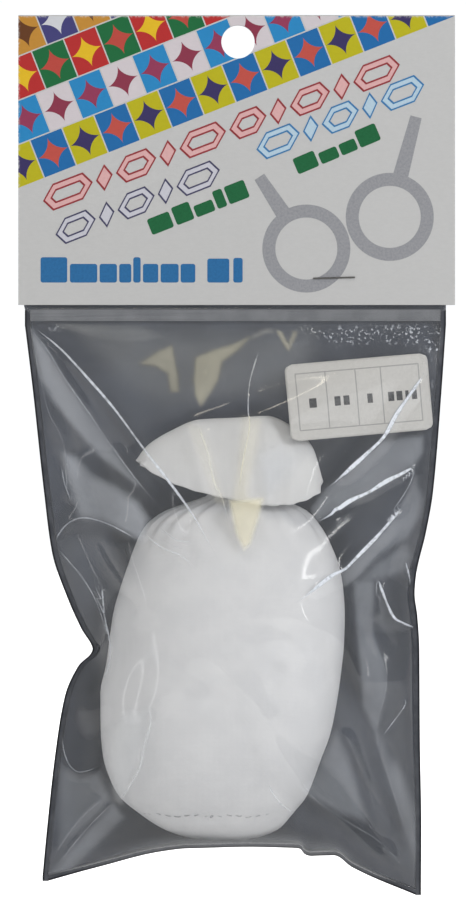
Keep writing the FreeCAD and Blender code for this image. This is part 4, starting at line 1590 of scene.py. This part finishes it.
def make_prints():
    """The rows of shapes and the pair of rings on the card's front, each in its ink."""
    made = []
    for colour, start, end, blocks, height, stroke, line, dark, pale in OUTLINED_ROWS:
        names = (f"print_{colour}_lines", f"print_{colour}_bands")
        pair = outlined_blocks(names, start, end, blocks, height, stroke, line)
        made += zip(pair, (dark, pale), (0.8, 0.92))
    for name, start, end, blocks, ink in SOLID_ROWS:
        made.append((solid_blocks(name, start, end, blocks), ink, 0.82))
    made.append((rings_print("print_rings"), RINGS_INK, 0.82))
    for piece, ink, depth in made:
        paint(piece, ink_material(piece.name, ink, tuple(c * depth for c in ink)))
        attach(piece, "header")


# ---------------------------------------------------------------- stage, camera and light


def make_stage():
    """A round pale floor under the pack. It looks white from a little way off, as the room behind it does."""
    turn = np.linspace(0, 2 * np.pi, FLOOR_SIDES + 1)[:-1]
    radius = np.array(FLOOR_RINGS)[:, None]
    grid = np.zeros((len(FLOOR_RINGS), FLOOR_SIDES, 3))
    grid[..., 0] = radius * np.cos(turn)
    grid[..., 1] = radius * np.sin(turn)
    grid[..., 2] = CAD_BOX[0].z / MM - FLOOR_DROP
    floor = add_object("floor", grid.reshape(-1, 3), grid_faces(len(FLOOR_RINGS), FLOOR_SIDES, closed=True))
    s = Shader("floor_paper")
    grain = s.noise(3.0, 4.0)
    tone = s.mix(grain.ramp(0.3, 0.7), (0.86, 0.86, 0.86), (0.9, 0.9, 0.9))
    x, y, _ = s.axes()
    away = (x * x + y * y).power(0.5)
    seen = Number(s, s.add("ShaderNodeLightPath", {}).outputs["Is Camera Ray"])
    glow = away.ramp(70.0, 240.0, 0.0, 1.0) * (seen * (1 - FLOOR_GLOW) + FLOOR_GLOW)
    paint(floor, s.done(s.surface(tone, 0.9, Emission_Color=(1, 1, 1), Emission_Strength=glow)))


def make_camera():
    """Level and square on to the pack, far enough away for its parts to keep their true proportions."""
    camera = bpy.data.cameras.new("camera")
    camera.sensor_width = 36.0
    camera.lens = camera.sensor_width / 2 / math.tan(math.atan(VIEW_HEIGHT / 2 / VIEW_DISTANCE))
    camera.clip_start = 0.01
    camera.clip_end = 20.0
    made = bpy.data.objects.new("camera", camera)
    made.location = Vector(VIEW_CENTRE) * MM + Vector((0, -VIEW_DISTANCE * MM, 0))
    made.rotation_euler = (math.radians(90), 0, 0)
    bpy.context.scene.collection.objects.link(made)
    bpy.context.scene.camera = made


def make_light():
    """A pale room, brighter to look at than it lights, and the soft lights."""
    world = bpy.data.worlds.new("room")
    world.use_nodes = True
    room = world.node_tree.nodes["Background"]
    room.inputs["Color"].default_value = (0.97, 0.985, 1.0, 1.0)
    links = world.node_tree.links
    path = world.node_tree.nodes.new("ShaderNodeLightPath")
    level = world.node_tree.nodes.new("ShaderNodeMapRange")
    level.inputs["To Min"].default_value = ROOM_LIGHT
    level.inputs["To Max"].default_value = ROOM_SEEN
    links.new(path.outputs["Is Camera Ray"], level.inputs["Value"])
    links.new(level.outputs["Result"], room.inputs["Strength"])
    bpy.context.scene.world = world
    for name, place, size, power, colour, mirrored in LIGHTS:
        lamp = bpy.data.lights.new(name, "AREA")
        lamp.shape = "RECTANGLE"
        lamp.size, lamp.size_y = size[0] * MM, size[1] * MM
        lamp.energy = power
        lamp.color = colour
        made = bpy.data.objects.new(name, lamp)
        made.location = Vector(place) * MM
        made.visible_glossy = mirrored
        made.rotation_euler = (Vector(LIGHTS_AIM) - Vector(place)).to_track_quat("-Z", "Y").to_euler()
        bpy.context.scene.collection.objects.link(made)
    view = bpy.context.scene.view_settings
    view.view_transform = "Standard"
    view.look = "None"


# ---------------------------------------------------------------- the pack


def dress(piece, material, body, slot, *nodes):
    """Paints a piece, makes it ride on its body and stand for the CAD nodes."""
    paint(piece, material)
    if body:
        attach(piece, body)
    if nodes:
        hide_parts(*nodes)
    return piece


def make_sock_pieces():
    """The sock's body, tail, tie, toe seam and chalk."""
    body = make_sock()
    tail = make_tail()
    cord = make_tie()
    stitches = make_stitches(tree_of([body]))
    chalk = make_chalk()
    return body, tail, cord, stitches, chalk


def make_films(body, tail, cord, stitches):
    """Both films of the bag, each with its grid of points."""
    nodes = frame["nodes"]
    obstacles = []
    obstacles = collision_copies([body, tail], 0.0) + collision_copies([body, tail], SOCK_TRAVEL)
    bag_tree = tree_of([nodes["front_film"], nodes["back_film"]])
    stops = tree_of([body, tail, cord, stitches])
    films = [
        make_film("film_front", -1, obstacles, stops, bag_tree, FRONT_CREASES, FRONT_HAZE_AND_REFLECTIONS),
        make_film("film_back", 1, obstacles, stops, bag_tree, BACK_CREASES, BACK_PALE_PATCHES),
    ]
    for piece in obstacles:
        bpy.data.objects.remove(piece)
    return films


def make_label(front_grid):
    """The label, laid against the inside of the front film."""
    film = add_sheet("front_open", front_grid)
    label = add_sheet("date_card", label_grid(tree_of([film])))
    bpy.data.objects.remove(film)
    return thicken(label, LABEL_PAPER)


def make_seals(front_grid, back_grid):
    """The welds down both sides and along the foot of the bag."""
    seal_paint = seal_material()
    for name, front, back, out, node in (
        ("seal_left", seal_edge(front_grid, 0), seal_edge(back_grid, 0), (-1, 0, 0), "left_side_seal"),
        ("seal_right", seal_edge(front_grid, -1), seal_edge(back_grid, -1), (1, 0, 0), "right_side_seal"),
        ("seal_foot", front_grid[-1], back_grid[-1], (0, 0, -1), "bottom_seal"),
    ):
        dress(make_seal(name, front, back, out), seal_paint, "bag", "seal_film", node)


def make_pack():
    """Every piece of the pack, on its body, in its material and with what it stands for."""
    nodes = frame["nodes"]
    paint(nodes["header_card"], card_material())
    paint(nodes["staple"], steel_material())
    zip_paint = zip_material()
    paint(nodes["zip_groove_strip"], zip_paint)
    paint(nodes["zip_rib_strip"], zip_paint)
    make_prints()

    body, tail, cord, stitches, chalk = make_sock_pieces()
    (front, front_grid), (back, back_grid) = make_films(body, tail, cord, stitches)
    label = make_label(front_grid)
    make_seals(front_grid, back_grid)

    body_cotton = cotton_material("sock_body", (0.86, 0.86, 0.87), (0.81, 0.812, 0.825))
    tail_cotton = cotton_material("sock_tail", (0.83, 0.828, 0.825), (0.79, 0.788, 0.785))
    dress(body, body_cotton, "sock", "sock_fabric", "sock_cloth")
    dress(tail, tail_cotton, "sock", "sock_fabric")
    dress(cord, cord_material(), "sock", "tie_cord", "neck_tie")
    dress(stitches, thread_material(), "sock", "seam_thread", "toe_seam")
    dress(chalk, chalk_material(), "sock", "chalk", "chalk_fill")
    dress(label, label_material(), "bag", "label_paper", "date_label")
    dress(front, clear_film_material(), None, "clear_film", "front_film_lip", "front_film")
    dress(back, smoke_film_material(), None, "smoke_film", "back_film_lip", "back_film")

    for film in (front, back):
        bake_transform(film)


make_camera()
make_light()
make_stage()
make_pack()
